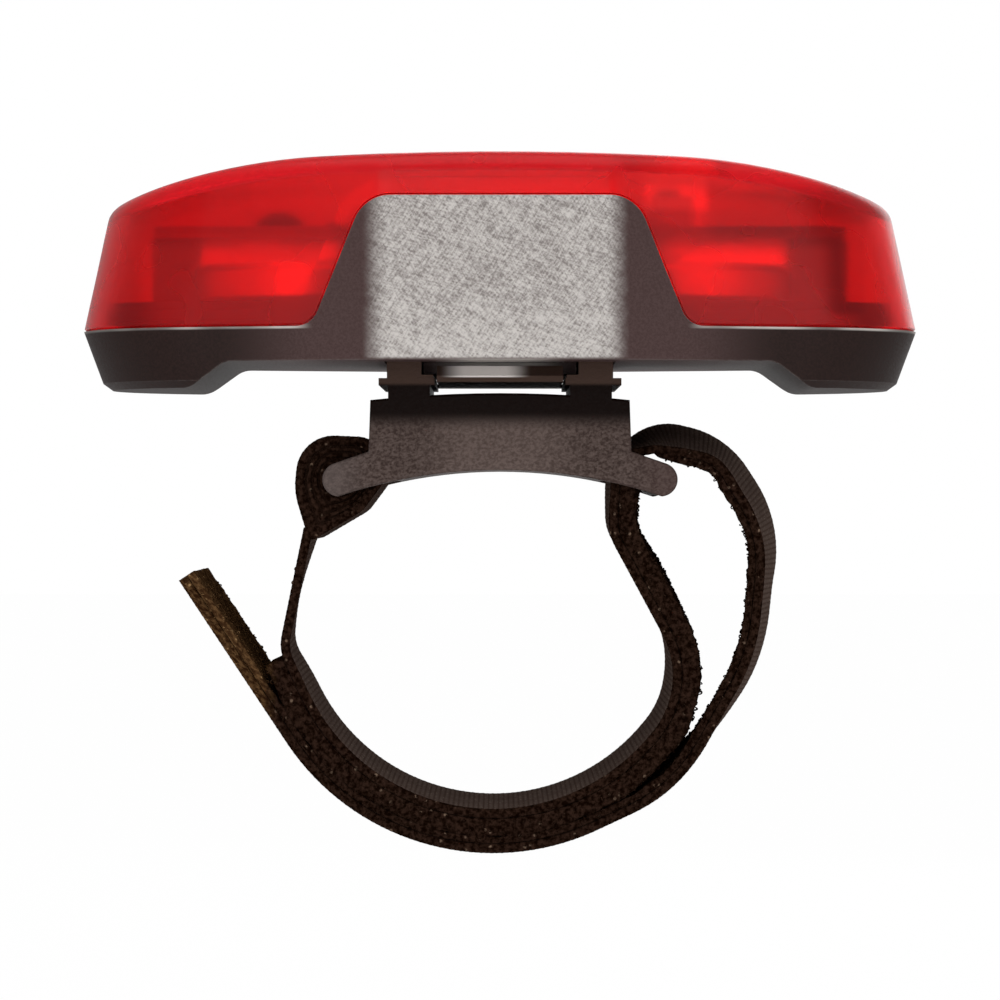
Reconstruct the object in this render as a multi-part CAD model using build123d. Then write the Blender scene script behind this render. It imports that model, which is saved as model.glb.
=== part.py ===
from build123d import *
import os
from math import asin, atan2, cos, degrees, hypot, radians, sin, tan

# Helmet rear light on a strap saddle. Millimetres, +Z is the way the light shines.
# X runs along the light, Y across it, and the origin is the crown of the saddle's seat.

# Reach of cutting tools past what they cut, and overlap of pieces that are joined
beyond = 1.0
joined = 0.1

# Light body
body_half_length = 36.0
body_half_depth = 17.5
facet_half = 9.6
facet_bend = 4.0
flank_lean = 16.34
end_lean = 12.3
side_lean = 5.0
parting_z = 11.96
crown_height = 15.29
crown_flat_half = 15.0
crown_radius = 260.0
shoulder_radius = 55.0
shoulder_angle = 20.5
dome_drop = 1.0
crown_sweep = 40.0
lens_wall = 1.6
rim_fillet = 1.8
rim_search = 3.0
edge_break = 0.2
lens_gap = 0.05

# Housing below the parting line
base_height = 5.06
base_end_lean = 20.6
base_chamfer = 0.6
recess_depth = 2.2
recess_end_run = 13.0
pad_inner_run = 10.0
pad_start_run = 8.4
recess_curve = 2.0
floor_wall = 0.8
pad_wall = 1.5
pad_well_run = 5.5
pad_well_length = 6.0
pad_well_half = 8.0

# Cheeks on both sides, drawn up over the lens
cheek_height = 10.84
cheek_base_half = 15.66
cheek_lean = 22.0
cheek_corner = 3.2
cheek_root = 2.0
cheek_depth = 2.3
cheek_gap = 0.15
window_wall = 1.45

# Spigot and seal inside the lens
spigot_inset = 2.3
spigot_wall = 1.6
spigot_height = 2.24
spigot_gap = 0.15
seal_inset = 2.02
seal_size = 0.9
seal_groove = 0.7
seal_groove_reach = 2.0
seal_play = 0.05
seal_lift = 0.6

# Coin cells, tray and board
cell_radius = 10.0
cell_height = 3.2
cell_end_run = 20.05
cell_shift = -0.65
cell_play = 0.3
cell_lift = 2.24
cell_rim = 0.4
cell_lid_step = 0.4
tray_end_run = 6.3
tray_half_depth = 10.0
tray_floor = 1.0
tray_core_half = 3.5
tray_leg_radius = 1.2
tray_leg_inset = 2.0
tray_boss_radius = 2.4
post_half = 4.0
post_end_radius = 3.0
plate_thickness = 0.2
plate_half_width = 3.0
plate_over = 4.05
plate_relief = 0.05
clip_thickness = 0.25
clip_width = 4.0
clip_root_run = 6.0
clip_flat_run = 2.5
clip_touch_run = 2.0
clip_tip_run = 3.6
clip_tip_lift = 0.4
clip_root_bend = 1.0
clip_touch_bend = 0.8
board_gap = 2.1
board_thickness = 1.0
board_half_depth = 8.0
board_end_inset = 0.3
screw_radius = 1.0
screw_head_radius = 1.9
screw_head_height = 1.1
screw_offset = 5.6
screw_depth = 1.8
screw_play = 0.1
screw_slot_share = 0.6
screw_slot_half = 0.2
thread_play = 0.02

# Lamps, switch and other board pieces
led_pitch = 6.4
led_length = 3.0
led_width = 2.6
led_height = 1.3
led_dome_radius = 0.9
led_dome_sink = 0.3
reflector_half_length = 9.5
reflector_half_depth = 3.5
reflector_height = 1.8
reflector_corner = 1.0
cup_low_radius = 2.1
cup_high_radius = 2.9
cup_over = 0.01
button_x = 14.4
switch_size = 4.4
switch_height = 2.9
switch_edge = 0.4
switch_bore_play = 0.2
plunger_radius = 1.1
plunger_length = 1.4
plunger_stand = 0.6
plunger_edge = 0.15
plunger_play = 0.08
button_travel = 0.5
dome_x = -18.9
chip_dome_radius = 2.5
chip_dome_height = 1.7
resistor_gap = 1.5
resistor_length = 1.6
resistor_width = 0.8
resistor_height = 0.5
resistor_pitch = 1.8

# Power button in the lens crown
button_radius = 4.5
button_play = 0.1
button_skirt = 4.0
button_flange = 0.8
button_flange_height = 0.6
button_stem_radius = 1.5
button_touch = 0.05

# Saddle that sits on the post
saddle_half_depth = 12.0
saddle_plate = 1.7
saddle_top_half = 10.9
saddle_bottom_half = 11.2
saddle_height = 6.46
saddle_crown = 0.58
saddle_under = 3.0
seat_radius = 43.0
saddle_edge = 0.25
core_half = 8.7
wing_x = 13.5
wing_z = -0.8
wing_radius = 1.43
wing_root_x = 10.0
wing_root_z = -0.2
wing_root_radius = 2.0
bar_radius = 1.3
bar_play = 0.15

# Rails on the saddle and the foot they hold
pillar_inner = 5.9
pillar_outer = 9.4
lip_half = 10.2
lip_z = 7.13
lip_thickness = 0.59
rail_outer = 9.5
rail_wall = 2.9
rail_hook = 1.0
rail_hook_height = 0.8
rail_height = 2.68
rail_shelf = 0.28
slide_play = 0.15
foot_relief = 0.05
channel_play = 0.25
channel_stop = 0.3
foot_near = -9.3
foot_far = 11.5
foot_flange_height = 1.3

# Release latch
latch_half = 5.3
latch_thickness = 0.5
root_relief = 0.3
latch_drop = 0.45
latch_root_y = 8.0
latch_root_gap = 0.1
latch_ridge_length = 2.4
latch_ridge_gap = 0.2
latch_ridge_height = 0.86
latch_ramp = 0.8
latch_tab = 0.7
latch_side_gap = 0.2

# Strap
strap_width = 20.0
web_thickness = 0.8
pile_thickness = 1.3
hook_thickness = 0.8
tape_gap = 0.02
closure_gap = 0.05
ring_x = -0.6
ring_top = 5.8
ring_radius = 17.2
ring_left_angle = 205.0
ring_right_angle = 320.0
closure_left_angle = 213.6
closure_right_angle = 295.0
tail_length = 16.4
corner_play = 0.08
leg_top_out = 2.5
leg_top_down = 5.2
leg_run = 3.96
leg_bend = 3.0
right_run = 5.45
right_bend = 7.4
slot_in = 4.4
slot_down = 4.55
slot_bend = 5.0
over_in = 4.0
over_up = 2.4
over_bend = 2.6
top_out = 0.45
top_up = 5.07
top_bend = 4.5
shoulder_out = 6.03
shoulder_up = 3.04
shoulder_bend = 8.0
side_out = 10.28
side_down = 4.03
side_bend = 11.0
hip_out = 5.84
hip_down = 4.36
hip_bend = 17.0
closing_run = 7.97
closing_bend = 16.5
pile_lead = 1.0
pile_rise = 3.4
hook_lead = 2.9
loop_reach = 4.25
stitch_length = 1.5
stitch_thread = 0.3
stitch_pitch = 2.4
stitch_count = 7
stitch_row_pitch = 1.2
stitch_start = 2.6

# Sewn loop's corners round the left bar and their bends, as shares of its reach
loop_shares = [(-0.647, -1.506), (0.4706, -0.6353), (0.7176, 0.8941), (-0.847, 1.0118), (-1.0, -0.2353)]
loop_bends = [0.106, 0.612, 0.518, 0.706, 1.412]

# Heights and places worked out from the sizes above
crown_z = parting_z + crown_height
dome_radius = (body_half_depth**2 + dome_drop**2) / (2 * dome_drop)
recess_half = body_half_length - recess_end_run
pad_inner = body_half_length - pad_inner_run
pad_start = body_half_length - pad_start_run
pad_well_high = body_half_length - pad_well_run
pad_well_low = pad_well_high - pad_well_length
cheek_inner = body_half_depth - cheek_depth
lens_floor_z = parting_z + lens_gap
base_z = parting_z - base_height
recess_z = base_z + recess_depth
rail_top_z = lip_z + lip_thickness + rail_height
channel_top_z = rail_top_z + slide_play
floor_z = channel_top_z + floor_wall
cheek_top_z = parting_z + cheek_height
cell_z = parting_z + cell_lift + plate_thickness
cell_top_z = cell_z + cell_height
cell_pitch = 2 * (body_half_length - cell_end_run)
plate_reach = cell_pitch / 2 + plate_over
tray_half_length = body_half_length - tray_end_run
board_half_length = tray_half_length - board_end_inset
board_z = cell_top_z + board_gap
board_top_z = board_z + board_thickness
tray_z = cell_z - plate_thickness - tray_floor
cell_left_x = cell_shift - cell_pitch / 2
cell_right_x = cell_shift + cell_pitch / 2
switch_top_z = board_top_z + switch_height
plunger_top_z = switch_top_z + plunger_stand
rail_inner = rail_outer - rail_wall
hook_inner = rail_inner - rail_hook
foot_core = hook_inner - slide_play - foot_relief
foot_half = rail_inner - slide_play
foot_top_z = rail_top_z - rail_hook_height - slide_play
foot_z = foot_top_z - foot_flange_height
latch_top_z = foot_z - (latch_drop - latch_side_gap)
latch_low_z = latch_top_z - latch_thickness
latch_round = latch_thickness / 2
ring_z = ring_top - ring_radius
closure_height = 2 * web_thickness + pile_thickness + hook_thickness + closure_gap


def prism(face, low, high):
    """Face drawn in X and Z, carried along Y from low to high."""
    solid = extrude(Plane.XZ * face, amount=(high - low) / 2, both=True)
    return Pos(0, (low + high) / 2, 0) * solid


def block(low, high):
    """Box between two corners."""
    size = [b - a for a, b in zip(low, high)]
    middle = [(a + b) / 2 for a, b in zip(low, high)]
    return Pos(*middle) * Box(*size)


def post(x, y, low, high, radius):
    """Upright cylinder between two heights."""
    return Pos(x, y, (low + high) / 2) * Cylinder(radius, high - low)


def mirrored(solid, plane):
    """Solid with its mirror image."""
    return solid + mirror(solid, plane)


def barrel(z, half_length, half_depth, inset=0.0):
    """Barrel outline of the light at a height: flat middle, slanted flanks, round ends they run into."""
    flank = radians(flank_lean)
    facet = facet_half - inset * tan(flank / 2)
    depth = half_depth - inset
    reach = half_length - inset
    end_radius = (depth - (reach - facet) * tan(flank)) / (cos(flank) - tan(flank) * (1 - sin(flank)))
    shoulder_x = reach - end_radius * (1 - sin(flank))
    shoulder_y = end_radius * cos(flank)
    near = [(-shoulder_x, shoulder_y), (-facet, depth), (facet, depth), (shoulder_x, shoulder_y)]
    far = [(x * -1, y * -1) for x, y in near]
    outline = FilletPolyline(*near, radius=facet_bend)
    outline += ThreePointArc((shoulder_x, shoulder_y), (reach, 0), (shoulder_x, -shoulder_y))
    outline += FilletPolyline(*far, radius=facet_bend)
    outline += ThreePointArc((-shoulder_x, -shoulder_y), (-reach, 0), (-shoulder_x, shoulder_y))
    return Pos(0, 0, z) * make_face(outline)


def upper_barrel(z, inset=0.0):
    """Barrel outline above the parting line, leaning in with height."""
    rise = z - parting_z
    length = body_half_length - rise * tan(radians(end_lean))
    depth = body_half_depth - rise * tan(radians(side_lean))
    return barrel(z, length, depth, inset)


def lower_barrel(z, inset=0.0):
    """Barrel outline below the parting line: ends lean in downwards, the facet runs on."""
    drop = parting_z - z
    length = body_half_length - drop * tan(radians(base_end_lean))
    depth = body_half_depth + drop * tan(radians(side_lean))
    return barrel(z, length, depth, inset)


def straight_barrel(low, high, inset, flat_half):
    """Upright plug inside the light, cut flat at the cheeks."""
    outline = barrel(low, body_half_length, body_half_depth, inset)
    cut = Pos(0, 0, low) * Rectangle(2 * body_half_length, 2 * flat_half)
    return extrude(outline & cut, amount=high - low)


def crown_wedge(drop=0.0):
    """Everything under the domed crown, lowered by drop."""
    axis_z = crown_z - dome_radius
    flat_radius = crown_radius - drop
    round_radius = shoulder_radius - drop
    start = asin(crown_flat_half / flat_radius)
    stop = radians(shoulder_angle)
    flat_end = (crown_flat_half, crown_z - drop - flat_radius * (1 - cos(start)))
    round_x = flat_end[0] + round_radius * (sin(stop) - sin(start))
    round_z = flat_end[1] - round_radius * (cos(start) - cos(stop))
    half = (start + stop) / 2
    middle_x = flat_end[0] + round_radius * (sin(half) - sin(start))
    middle_z = flat_end[1] - round_radius * (cos(start) - cos(half))
    reach = body_half_length + beyond
    reach_z = round_z - (reach - round_x) * tan(stop)
    side = [(round_x, round_z), (reach, reach_z), (reach, axis_z)]
    side += [(x * -1, z) for x, z in reversed(side)]
    outline = Polyline(*side)
    outline += ThreePointArc((-round_x, round_z), (-middle_x, middle_z), (-flat_end[0], flat_end[1]))
    outline += ThreePointArc((-flat_end[0], flat_end[1]), (0, crown_z - drop), flat_end)
    outline += ThreePointArc(flat_end, (middle_x, middle_z), (round_x, round_z))
    face = Plane.XZ * make_face(outline)
    axis = Axis((0, 0, axis_z), (1, 0, 0))
    return revolve(face, axis, 2 * crown_sweep).rotate(axis, -crown_sweep)


def cheek_outline(grow=0.0):
    """Cheek seen from the front, drawn out all round by grow."""
    lean = radians(cheek_lean)
    top = cheek_top_z + grow
    low = parting_z + grow
    base = cheek_base_half + grow / cos(lean) - grow * tan(lean)
    peak = base - (top - low) * tan(lean)
    out = base + 3 * cheek_root
    under = parting_z - beyond
    points = [(-out, under), (-out, low), (-base, low), (-peak, top)]
    points += [(x * -1, z) for x, z in reversed(points)]
    radii = [cheek_root - grow, cheek_corner + grow, cheek_corner + grow, cheek_root - grow]
    side = FilletPolyline(*points[1:-1], radius=radii)
    edge = Polyline(points[1], points[0], points[-1], points[-2])
    return make_face(side + edge)


def both_sides(outline, inner):
    """Prism through the whole light, kept outside a depth on both sides."""
    far = body_half_depth + 2 * beyond
    return prism(outline, inner, far) + prism(outline, -far, -inner)


def outer_shell():
    """Outer form above the parting line, stepped in at the cheeks, rim rounded."""
    sections = [upper_barrel(lens_floor_z, edge_break), upper_barrel(lens_floor_z + edge_break)]
    sections.append(upper_barrel(crown_z + 2 * beyond))
    body = loft(sections, ruled=True) & crown_wedge()
    body -= both_sides(cheek_outline(cheek_gap), cheek_inner - cheek_gap)
    bay_top = cheek_top_z + 2 * cheek_gap
    rim = body.edges().filter_by(lambda e: e.center().Z > cheek_top_z - rim_search)
    rim = rim.filter_by(lambda e: e.center().Z > bay_top or abs(e.center().X) > cheek_base_half)
    return fillet(rim, rim_fillet)


def make_lens():
    """Red cap: a thin shell, set back behind the cheeks, with the button's hole."""
    sections = [upper_barrel(parting_z - beyond, lens_wall), upper_barrel(crown_z + 2 * beyond, lens_wall)]
    cavity = loft(sections, ruled=True) & crown_wedge(lens_wall)
    window_inner = cheek_inner - cheek_gap - window_wall
    cavity -= both_sides(cheek_outline(cheek_gap + window_wall), window_inner)
    lens = outer_shell() - cavity
    hole = post(button_x, 0, plunger_top_z, crown_z + beyond, button_radius + button_play)
    return lens - hole


def make_button():
    """Soft power button, flush with the crown, with a flange under the lens and a stem."""
    low = crown_z - button_skirt
    cap = post(button_x, 0, low, crown_z + beyond, button_radius) & crown_wedge()
    flange = post(button_x, 0, low, crown_z + beyond, button_radius + button_flange)
    flange = flange & crown_wedge(lens_wall + button_play)
    flange_z = crown_z - lens_wall - button_play - 2 * button_flange_height
    stem_z = plunger_top_z + button_touch
    cut = block((0, -body_half_depth, 0), (body_half_length, body_half_depth, flange_z))
    stem = post(button_x, 0, stem_z, flange_z + button_flange_height, button_stem_radius)
    return (cap + flange) - cut + stem


def make_housing():
    """Dark rear housing: base, cheeks, spigot, foot and rail channels."""
    sections = [lower_barrel(base_z, base_chamfer), lower_barrel(base_z + base_chamfer)]
    body = loft([*sections, lower_barrel(parting_z)], ruled=True)
    cheeks = loft([upper_barrel(parting_z), upper_barrel(crown_z + 2 * beyond)], ruled=True)
    cheeks = cheeks & both_sides(cheek_outline(), cheek_inner)
    body += cheeks
    body += straight_barrel(floor_z, parting_z + spigot_height, spigot_inset, spigot_flat())
    body -= straight_barrel(floor_z, crown_z, spigot_inset + spigot_wall, spigot_flat() - spigot_wall)
    body -= seal_ring(spigot_inset + seal_groove, spigot_flat() - seal_groove, seal_groove_reach, seal_play)
    body -= underside_recess()
    body -= rail_channels()
    body += foot()
    for side in (-1, 1):
        low_x, high_x = sorted((side * pad_well_low, side * pad_well_high))
        low = (low_x, -pad_well_half, base_z + pad_wall)
        body -= block(low, (high_x, pad_well_half, floor_z + joined))
    hole_z = floor_z - screw_depth - screw_play
    for y in (-screw_offset, screw_offset):
        body -= post(cell_shift, y, hole_z, floor_z + beyond, screw_radius + thread_play)
    return body


def spigot_flat():
    """Half depth of the spigot where it passes behind the cheeks."""
    return cheek_inner - cheek_gap - window_wall - spigot_gap


def seal_ring(inner_inset, inner_flat, reach, play=0.0):
    """Square ring round the spigot, from an inner outline outwards."""
    low = parting_z + seal_lift - play
    high = parting_z + seal_lift + seal_size + play
    outer = straight_barrel(low, high, inner_inset - reach, inner_flat + reach)
    return outer - straight_barrel(low, high, inner_inset, inner_flat)


def make_seal():
    """Rubber seal between the spigot and the lens wall."""
    inner_inset = spigot_inset + seal_groove - seal_play
    inner_flat = spigot_flat() - seal_groove + seal_play
    low = parting_z + seal_lift
    high = low + seal_size
    outer = straight_barrel(low, high, seal_inset, spigot_flat() + spigot_gap - seal_play)
    return outer - straight_barrel(low, high, inner_inset, inner_flat)


def underside_recess():
    """Shallow bay across the underside, with S-curved ends at the pads."""
    points = [(-pad_start, base_z), (-pad_inner, base_z), (-recess_half, recess_z)]
    points += [(x * -1, z) for x, z in reversed(points)]
    roof = FilletPolyline(*points, radius=recess_curve)
    low = base_z - beyond
    under = Polyline(points[0], (-pad_start, low), (pad_start, low), points[-1])
    far = body_half_depth + 3 * beyond
    return prism(make_face(roof + under), -far, far)


def foot():
    """Flanged foot under the housing, held by the saddle's rails."""
    core = block((-foot_core, foot_near, foot_z), (foot_core, foot_far, recess_z + joined))
    flange = block((-foot_half, foot_near, foot_z), (foot_half, foot_far, foot_top_z))
    return core + flange


def rail_channels():
    """Two channels in the housing for the rails, open at the far side."""
    near = -saddle_half_depth - channel_stop
    far = body_half_depth + 3 * beyond
    channel = block((foot_core, near, recess_z - beyond), (rail_outer + channel_play, far, channel_top_z))
    return channel + mirror(channel, Plane.YZ)


def make_tray():
    """Battery tray: floor, end posts, centre block and legs, hollowed for the two cells."""
    tray_inset = spigot_inset + spigot_wall + cell_play
    body = straight_barrel(tray_z, tray_z + tray_floor, tray_inset, tray_half_depth)
    body &= block((-tray_half_length, -tray_half_depth, tray_z), (tray_half_length, tray_half_depth, board_z))
    wall = block((-tray_half_length, -post_half, tray_z), (tray_half_length, post_half, board_z))
    low = (cell_shift - tray_core_half, -tray_half_depth, tray_z)
    core = block(low, (cell_shift + tray_core_half, tray_half_depth, board_z))
    body += wall + core
    pocket_floor = tray_z + tray_floor
    for x in (cell_left_x, cell_right_x):
        body -= post(x, 0, pocket_floor, board_z + beyond, cell_radius + cell_play)
        for y in (tray_leg_inset - tray_half_depth, tray_half_depth - tray_leg_inset):
            body += post(x, y, floor_z, tray_z + joined, tray_leg_radius)
    low = (cell_shift - plate_reach - cell_play, -plate_half_width - cell_play, pocket_floor)
    high = (cell_shift + plate_reach + cell_play, plate_half_width + cell_play, cell_z + plate_relief)
    body -= block(low, high)
    for y in (-screw_offset, screw_offset):
        body += post(cell_shift, y, floor_z, tray_z + joined, tray_boss_radius)
        body -= post(cell_shift, y, floor_z - beyond, board_z + beyond, screw_radius + screw_play)
    return body


def make_cell(x):
    """Coin cell: wide can below, stepped smaller lid on top."""
    can = post(x, 0, cell_z, cell_top_z - cell_lid_step, cell_radius)
    can = fillet(can.edges().filter_by(GeomType.CIRCLE), cell_rim)
    return can + post(x, 0, cell_z + cell_lid_step, cell_top_z, cell_radius - 2 * cell_lid_step)


def make_bridge_plate():
    """Thin plate under both cells that joins them."""
    low = (cell_shift - plate_reach, -plate_half_width, cell_z - plate_thickness)
    return block(low, (cell_shift + plate_reach, plate_half_width, cell_z))


def moved_corners(points, distance):
    """Corners of a polyline moved to the right of its travel by distance."""
    moved = []
    for index, (x, z) in enumerate(points):
        before = points[max(index - 1, 0)]
        after = points[min(index + 1, len(points) - 1)]
        arrive = unit(before, (x, z)) if index else unit((x, z), after)
        leave = unit((x, z), after) if index < len(points) - 1 else arrive
        normal = (arrive[1] + leave[1], -arrive[0] - leave[0])
        scale = distance / (1 + arrive[0] * leave[0] + arrive[1] * leave[1])
        moved.append((x + normal[0] * scale, z + normal[1] * scale))
    return moved


def unit(start, end):
    """Direction from one point to another."""
    run = hypot(end[0] - start[0], end[1] - start[1])
    return ((end[0] - start[0]) / run, (end[1] - start[1]) / run)


def band(points, radii, near, far):
    """Face between two copies of a rounded polyline, near and far to its right."""
    sides = []
    for distance in (near, far):
        bends = []
        for index, radius in enumerate(radii):
            first = unit(points[index], points[index + 1])
            second = unit(points[index + 1], points[index + 2])
            left = first[0] * second[1] - first[1] * second[0] > 0
            bends.append(radius + distance if left else radius - distance)
        sides.append((moved_corners(points, distance), bends))
    (near_points, near_bends), (far_points, far_bends) = sides
    outline = FilletPolyline(*near_points, radius=near_bends)
    outline += FilletPolyline(*far_points, radius=far_bends)
    outline += Line(near_points[0], far_points[0]) + Line(near_points[-1], far_points[-1])
    return make_face(outline)


def make_clip(x, side):
    """Sprung leaf from the board down to a cell's lid."""
    high = board_z
    low = cell_top_z + clip_thickness
    points = [(x - side * clip_root_run, high), (x - side * clip_flat_run, high)]
    points += [(x + side * clip_touch_run, low), (x + side * clip_tip_run, low + clip_tip_lift)]
    if side < 0:
        points.reverse()
    leaf = band(points, [clip_root_bend, clip_touch_bend], 0, clip_thickness)
    return prism(leaf, -clip_width / 2, clip_width / 2)


def make_board():
    """Circuit board over the cells, with its screw holes."""
    low = (-board_half_length, -board_half_depth, board_z)
    board = block(low, (board_half_length, board_half_depth, board_top_z))
    board = fillet(board.edges().filter_by(Axis.Z), post_end_radius)
    for y in (-screw_offset, screw_offset):
        board -= post(cell_shift, y, board_z - beyond, board_top_z + beyond, screw_radius + screw_play)
    return board


def make_screws():
    """Two pan head screws that hold the board and tray to the housing."""
    group = Part()
    for y in (-screw_offset, screw_offset):
        head = post(cell_shift, y, board_top_z, board_top_z + screw_head_height, screw_head_radius)
        head = fillet(head.edges().sort_by(Axis.Z)[-1], screw_head_height / 2)
        slot_z = board_top_z + screw_head_height / 2
        arm = screw_head_radius * screw_slot_share
        half = screw_slot_half
        cross = block((cell_shift - arm, y - half, slot_z), (cell_shift + arm, y + half, crown_z))
        cross += block((cell_shift - half, y - arm, slot_z), (cell_shift + half, y + arm, crown_z))
        group += head - cross + post(cell_shift, y, floor_z - screw_depth, board_top_z, screw_radius)
    return group


def make_led(x):
    """Surface lamp: square body with a small lens on top."""
    low = (x - led_length / 2, -led_width / 2, board_top_z)
    body = block(low, (x + led_length / 2, led_width / 2, board_top_z + led_height))
    dome = Pos(x, 0, board_top_z + led_height - led_dome_sink) * Sphere(led_dome_radius)
    return body + dome


def make_reflector():
    """Strip with three cone cups round the lamps."""
    low = (-reflector_half_length, -reflector_half_depth, board_top_z)
    strip = block(low, (reflector_half_length, reflector_half_depth, board_top_z + reflector_height))
    strip = fillet(strip.edges().filter_by(Axis.Z), reflector_corner)
    for x in (-led_pitch, 0, led_pitch):
        middle = board_top_z + reflector_height / 2
        strip -= Pos(x, 0, middle) * Cone(cup_low_radius, cup_high_radius, reflector_height + cup_over)
    return strip


def make_switch():
    """Tactile switch under the power button, bored for its plunger."""
    half = switch_size / 2
    body = block((button_x - half, -half, board_top_z), (button_x + half, half, switch_top_z))
    body = chamfer(body.edges().filter_by(Axis.Z), switch_edge)
    bore_z = plunger_top_z - plunger_length - button_travel - switch_bore_play
    return body - post(button_x, 0, bore_z, switch_top_z + beyond, plunger_radius + plunger_play)


def make_plunger():
    """Plunger of the tactile switch."""
    rod = post(button_x, 0, plunger_top_z - plunger_length, plunger_top_z, plunger_radius)
    return chamfer(rod.edges().sort_by(Axis.Z)[-1], plunger_edge)


def make_chip_dome():
    """Black resin dome over the controller chip."""
    radius = (chip_dome_radius**2 + chip_dome_height**2) / (2 * chip_dome_height)
    ball = Pos(dome_x, 0, board_top_z + chip_dome_height - radius) * Sphere(radius)
    return ball & post(dome_x, 0, board_top_z, crown_z, chip_dome_radius + beyond)


def make_resistors():
    """Three chip resistors in a row beside the dome."""
    group = Part()
    for index in range(3):
        x = dome_x + chip_dome_radius + resistor_gap
        y = (index - 1) * resistor_pitch
        low = (x, y - resistor_width / 2, board_top_z)
        group += block(low, (x + resistor_length, y + resistor_width / 2, board_top_z + resistor_height))
    return group


def saddle_side():
    """Side view of the saddle with its two wings."""
    corner_z = saddle_height - saddle_crown
    body = ThreePointArc((-saddle_top_half, corner_z), (0, saddle_height), (saddle_top_half, corner_z))
    side = [(saddle_top_half, corner_z), (saddle_bottom_half, -saddle_under)]
    side += [(x * -1, z) for x, z in reversed(side)]
    side = make_face(body + Polyline(*side))
    tip = Pos(wing_x, wing_z) * Circle(wing_radius)
    root = Pos(wing_root_x, wing_root_z) * Circle(wing_root_radius)
    wing = make_hull(tip.edges() + root.edges())
    side += wing + mirror(wing, Plane.YZ)
    return side - Pos(0, -seat_radius) * Circle(seat_radius)


def make_saddle():
    """Saddle with side plates, strap bars, pillars and the two rails."""
    outer = saddle_half_depth
    inner = outer - saddle_plate
    plate = prism(saddle_side(), inner, outer)
    rim = plate.faces().sort_by(Axis.Y)[-1].edges().filter_by(lambda e: e.length > 2 * saddle_edge)
    plate = fillet(rim, saddle_edge)
    body = mirrored(plate, Plane.XZ)
    reach = saddle_bottom_half + beyond
    core = block((-core_half, -outer, -reach), (core_half, outer, reach))
    body += prism(saddle_side(), -inner, inner) & core
    for x in (-wing_x, wing_x):
        body += prism(Pos(x, wing_z) * Circle(bar_radius), -inner, inner)
    rails = block((pillar_inner, -outer, saddle_height - beyond), (pillar_outer, outer, lip_z))
    rails += block((latch_half + latch_side_gap, -outer, lip_z), (lip_half, outer, lip_z + lip_thickness))
    web_z = lip_z + lip_thickness
    rails += block((rail_inner, -outer, web_z), (rail_outer, outer, rail_top_z))
    rails += block((hook_inner, -outer, rail_top_z - rail_hook_height), (rail_outer, outer, rail_top_z))
    rails += block((hook_inner, -outer, web_z), (rail_outer, outer, web_z + rail_shelf))
    body += mirrored(rails, Plane.YZ)
    root = latch_root_y + latch_root_gap
    body += block((-pillar_outer, root, lip_z + root_relief), (pillar_outer, outer, lip_z + lip_thickness))
    return body


def make_latch():
    """Sprung tongue between the rails, with the ridge that stops the foot."""
    near = foot_near - latch_ridge_gap - latch_ridge_length
    root_y = latch_root_y - latch_round
    tongue = block((-latch_half, near - latch_tab, latch_low_z), (latch_half, root_y, latch_top_z))
    root = Pos(0, root_y, latch_low_z + latch_round) * Rot(0, 90, 0) * Cylinder(latch_round, 2 * latch_half)
    ridge_z = latch_top_z + latch_ridge_height
    points = [(near, latch_top_z), (near + latch_ramp, ridge_z), (near + latch_ridge_length, ridge_z)]
    points.append((near + latch_ridge_length, latch_top_z))
    ridge = make_face(Polyline(*points, close=True))
    ridge = extrude(Plane.YZ * ridge, amount=latch_half, both=True)
    return tongue + root + ridge


def ring_point(angle, radius):
    """Point on a circle round the strap ring's middle."""
    return (ring_x + radius * cos(radians(angle)), ring_z + radius * sin(radians(angle)))


def ring_corners(start, stop, radius):
    """Two corners whose rounds follow the ring between two angles."""
    step = (stop - start) / 2
    reach = radius / cos(radians(step / 2))
    return [ring_point(start + step / 2, reach), ring_point(start + 1.5 * step, reach)]


def tangent_point(angle, radius, run):
    """Point beside the ring, a run along its tangent from an angle."""
    start = ring_point(angle, radius)
    return (start[0] - run * sin(radians(angle)), start[1] + run * cos(radians(angle)))


# The strap's face towards the ring, from the sewn loop round to the tail
leg_top = (-wing_x - leg_top_out, wing_z - leg_top_down)
leg_corner = tangent_point(ring_left_angle, ring_radius, -leg_run)
right_corner = tangent_point(ring_right_angle, ring_radius, right_run)
slot_corner = (wing_x - slot_in, wing_z - slot_down)
over_corner = (wing_x - over_in, wing_z + over_up)
crown_corner = (wing_x + top_out, wing_z + top_up)
shoulder_corner = (wing_x + shoulder_out, wing_z + shoulder_up)
side_corner = (wing_x + side_out, wing_z - side_down)
hip_corner = (ring_x + ring_radius + hip_out, ring_z - hip_down)
closing_corner = tangent_point(closure_right_angle, ring_radius + closure_height, closing_run)


def inner_ring():
    """Corners and radii of the inner layer at the ring."""
    return ring_corners(ring_left_angle, ring_right_angle, ring_radius)


def outer_ring():
    """Corners of the outer layer at the ring, travelled back to the tail."""
    return ring_corners(closure_right_angle, closure_left_angle, ring_radius + closure_height)


def tail_end():
    """End of the free tail."""
    return tangent_point(closure_left_angle, ring_radius + closure_height, -tail_length)


def along(start, end, run):
    """Point a given run from start towards end."""
    way = unit(start, end)
    return (start[0] + way[0] * run, start[1] + way[1] * run)


def loop_face():
    """Sewn end, doubled close round the left bar."""
    corners = [(x * loop_reach - wing_x, z * loop_reach + wing_z) for x, z in loop_shares]
    bends = [share * loop_reach for share in loop_bends]
    face = make_face(FilletPolyline(*corners, radius=bends, close=True))
    return face - Pos(-wing_x, wing_z) * Circle(bar_radius + bar_play)


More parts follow.
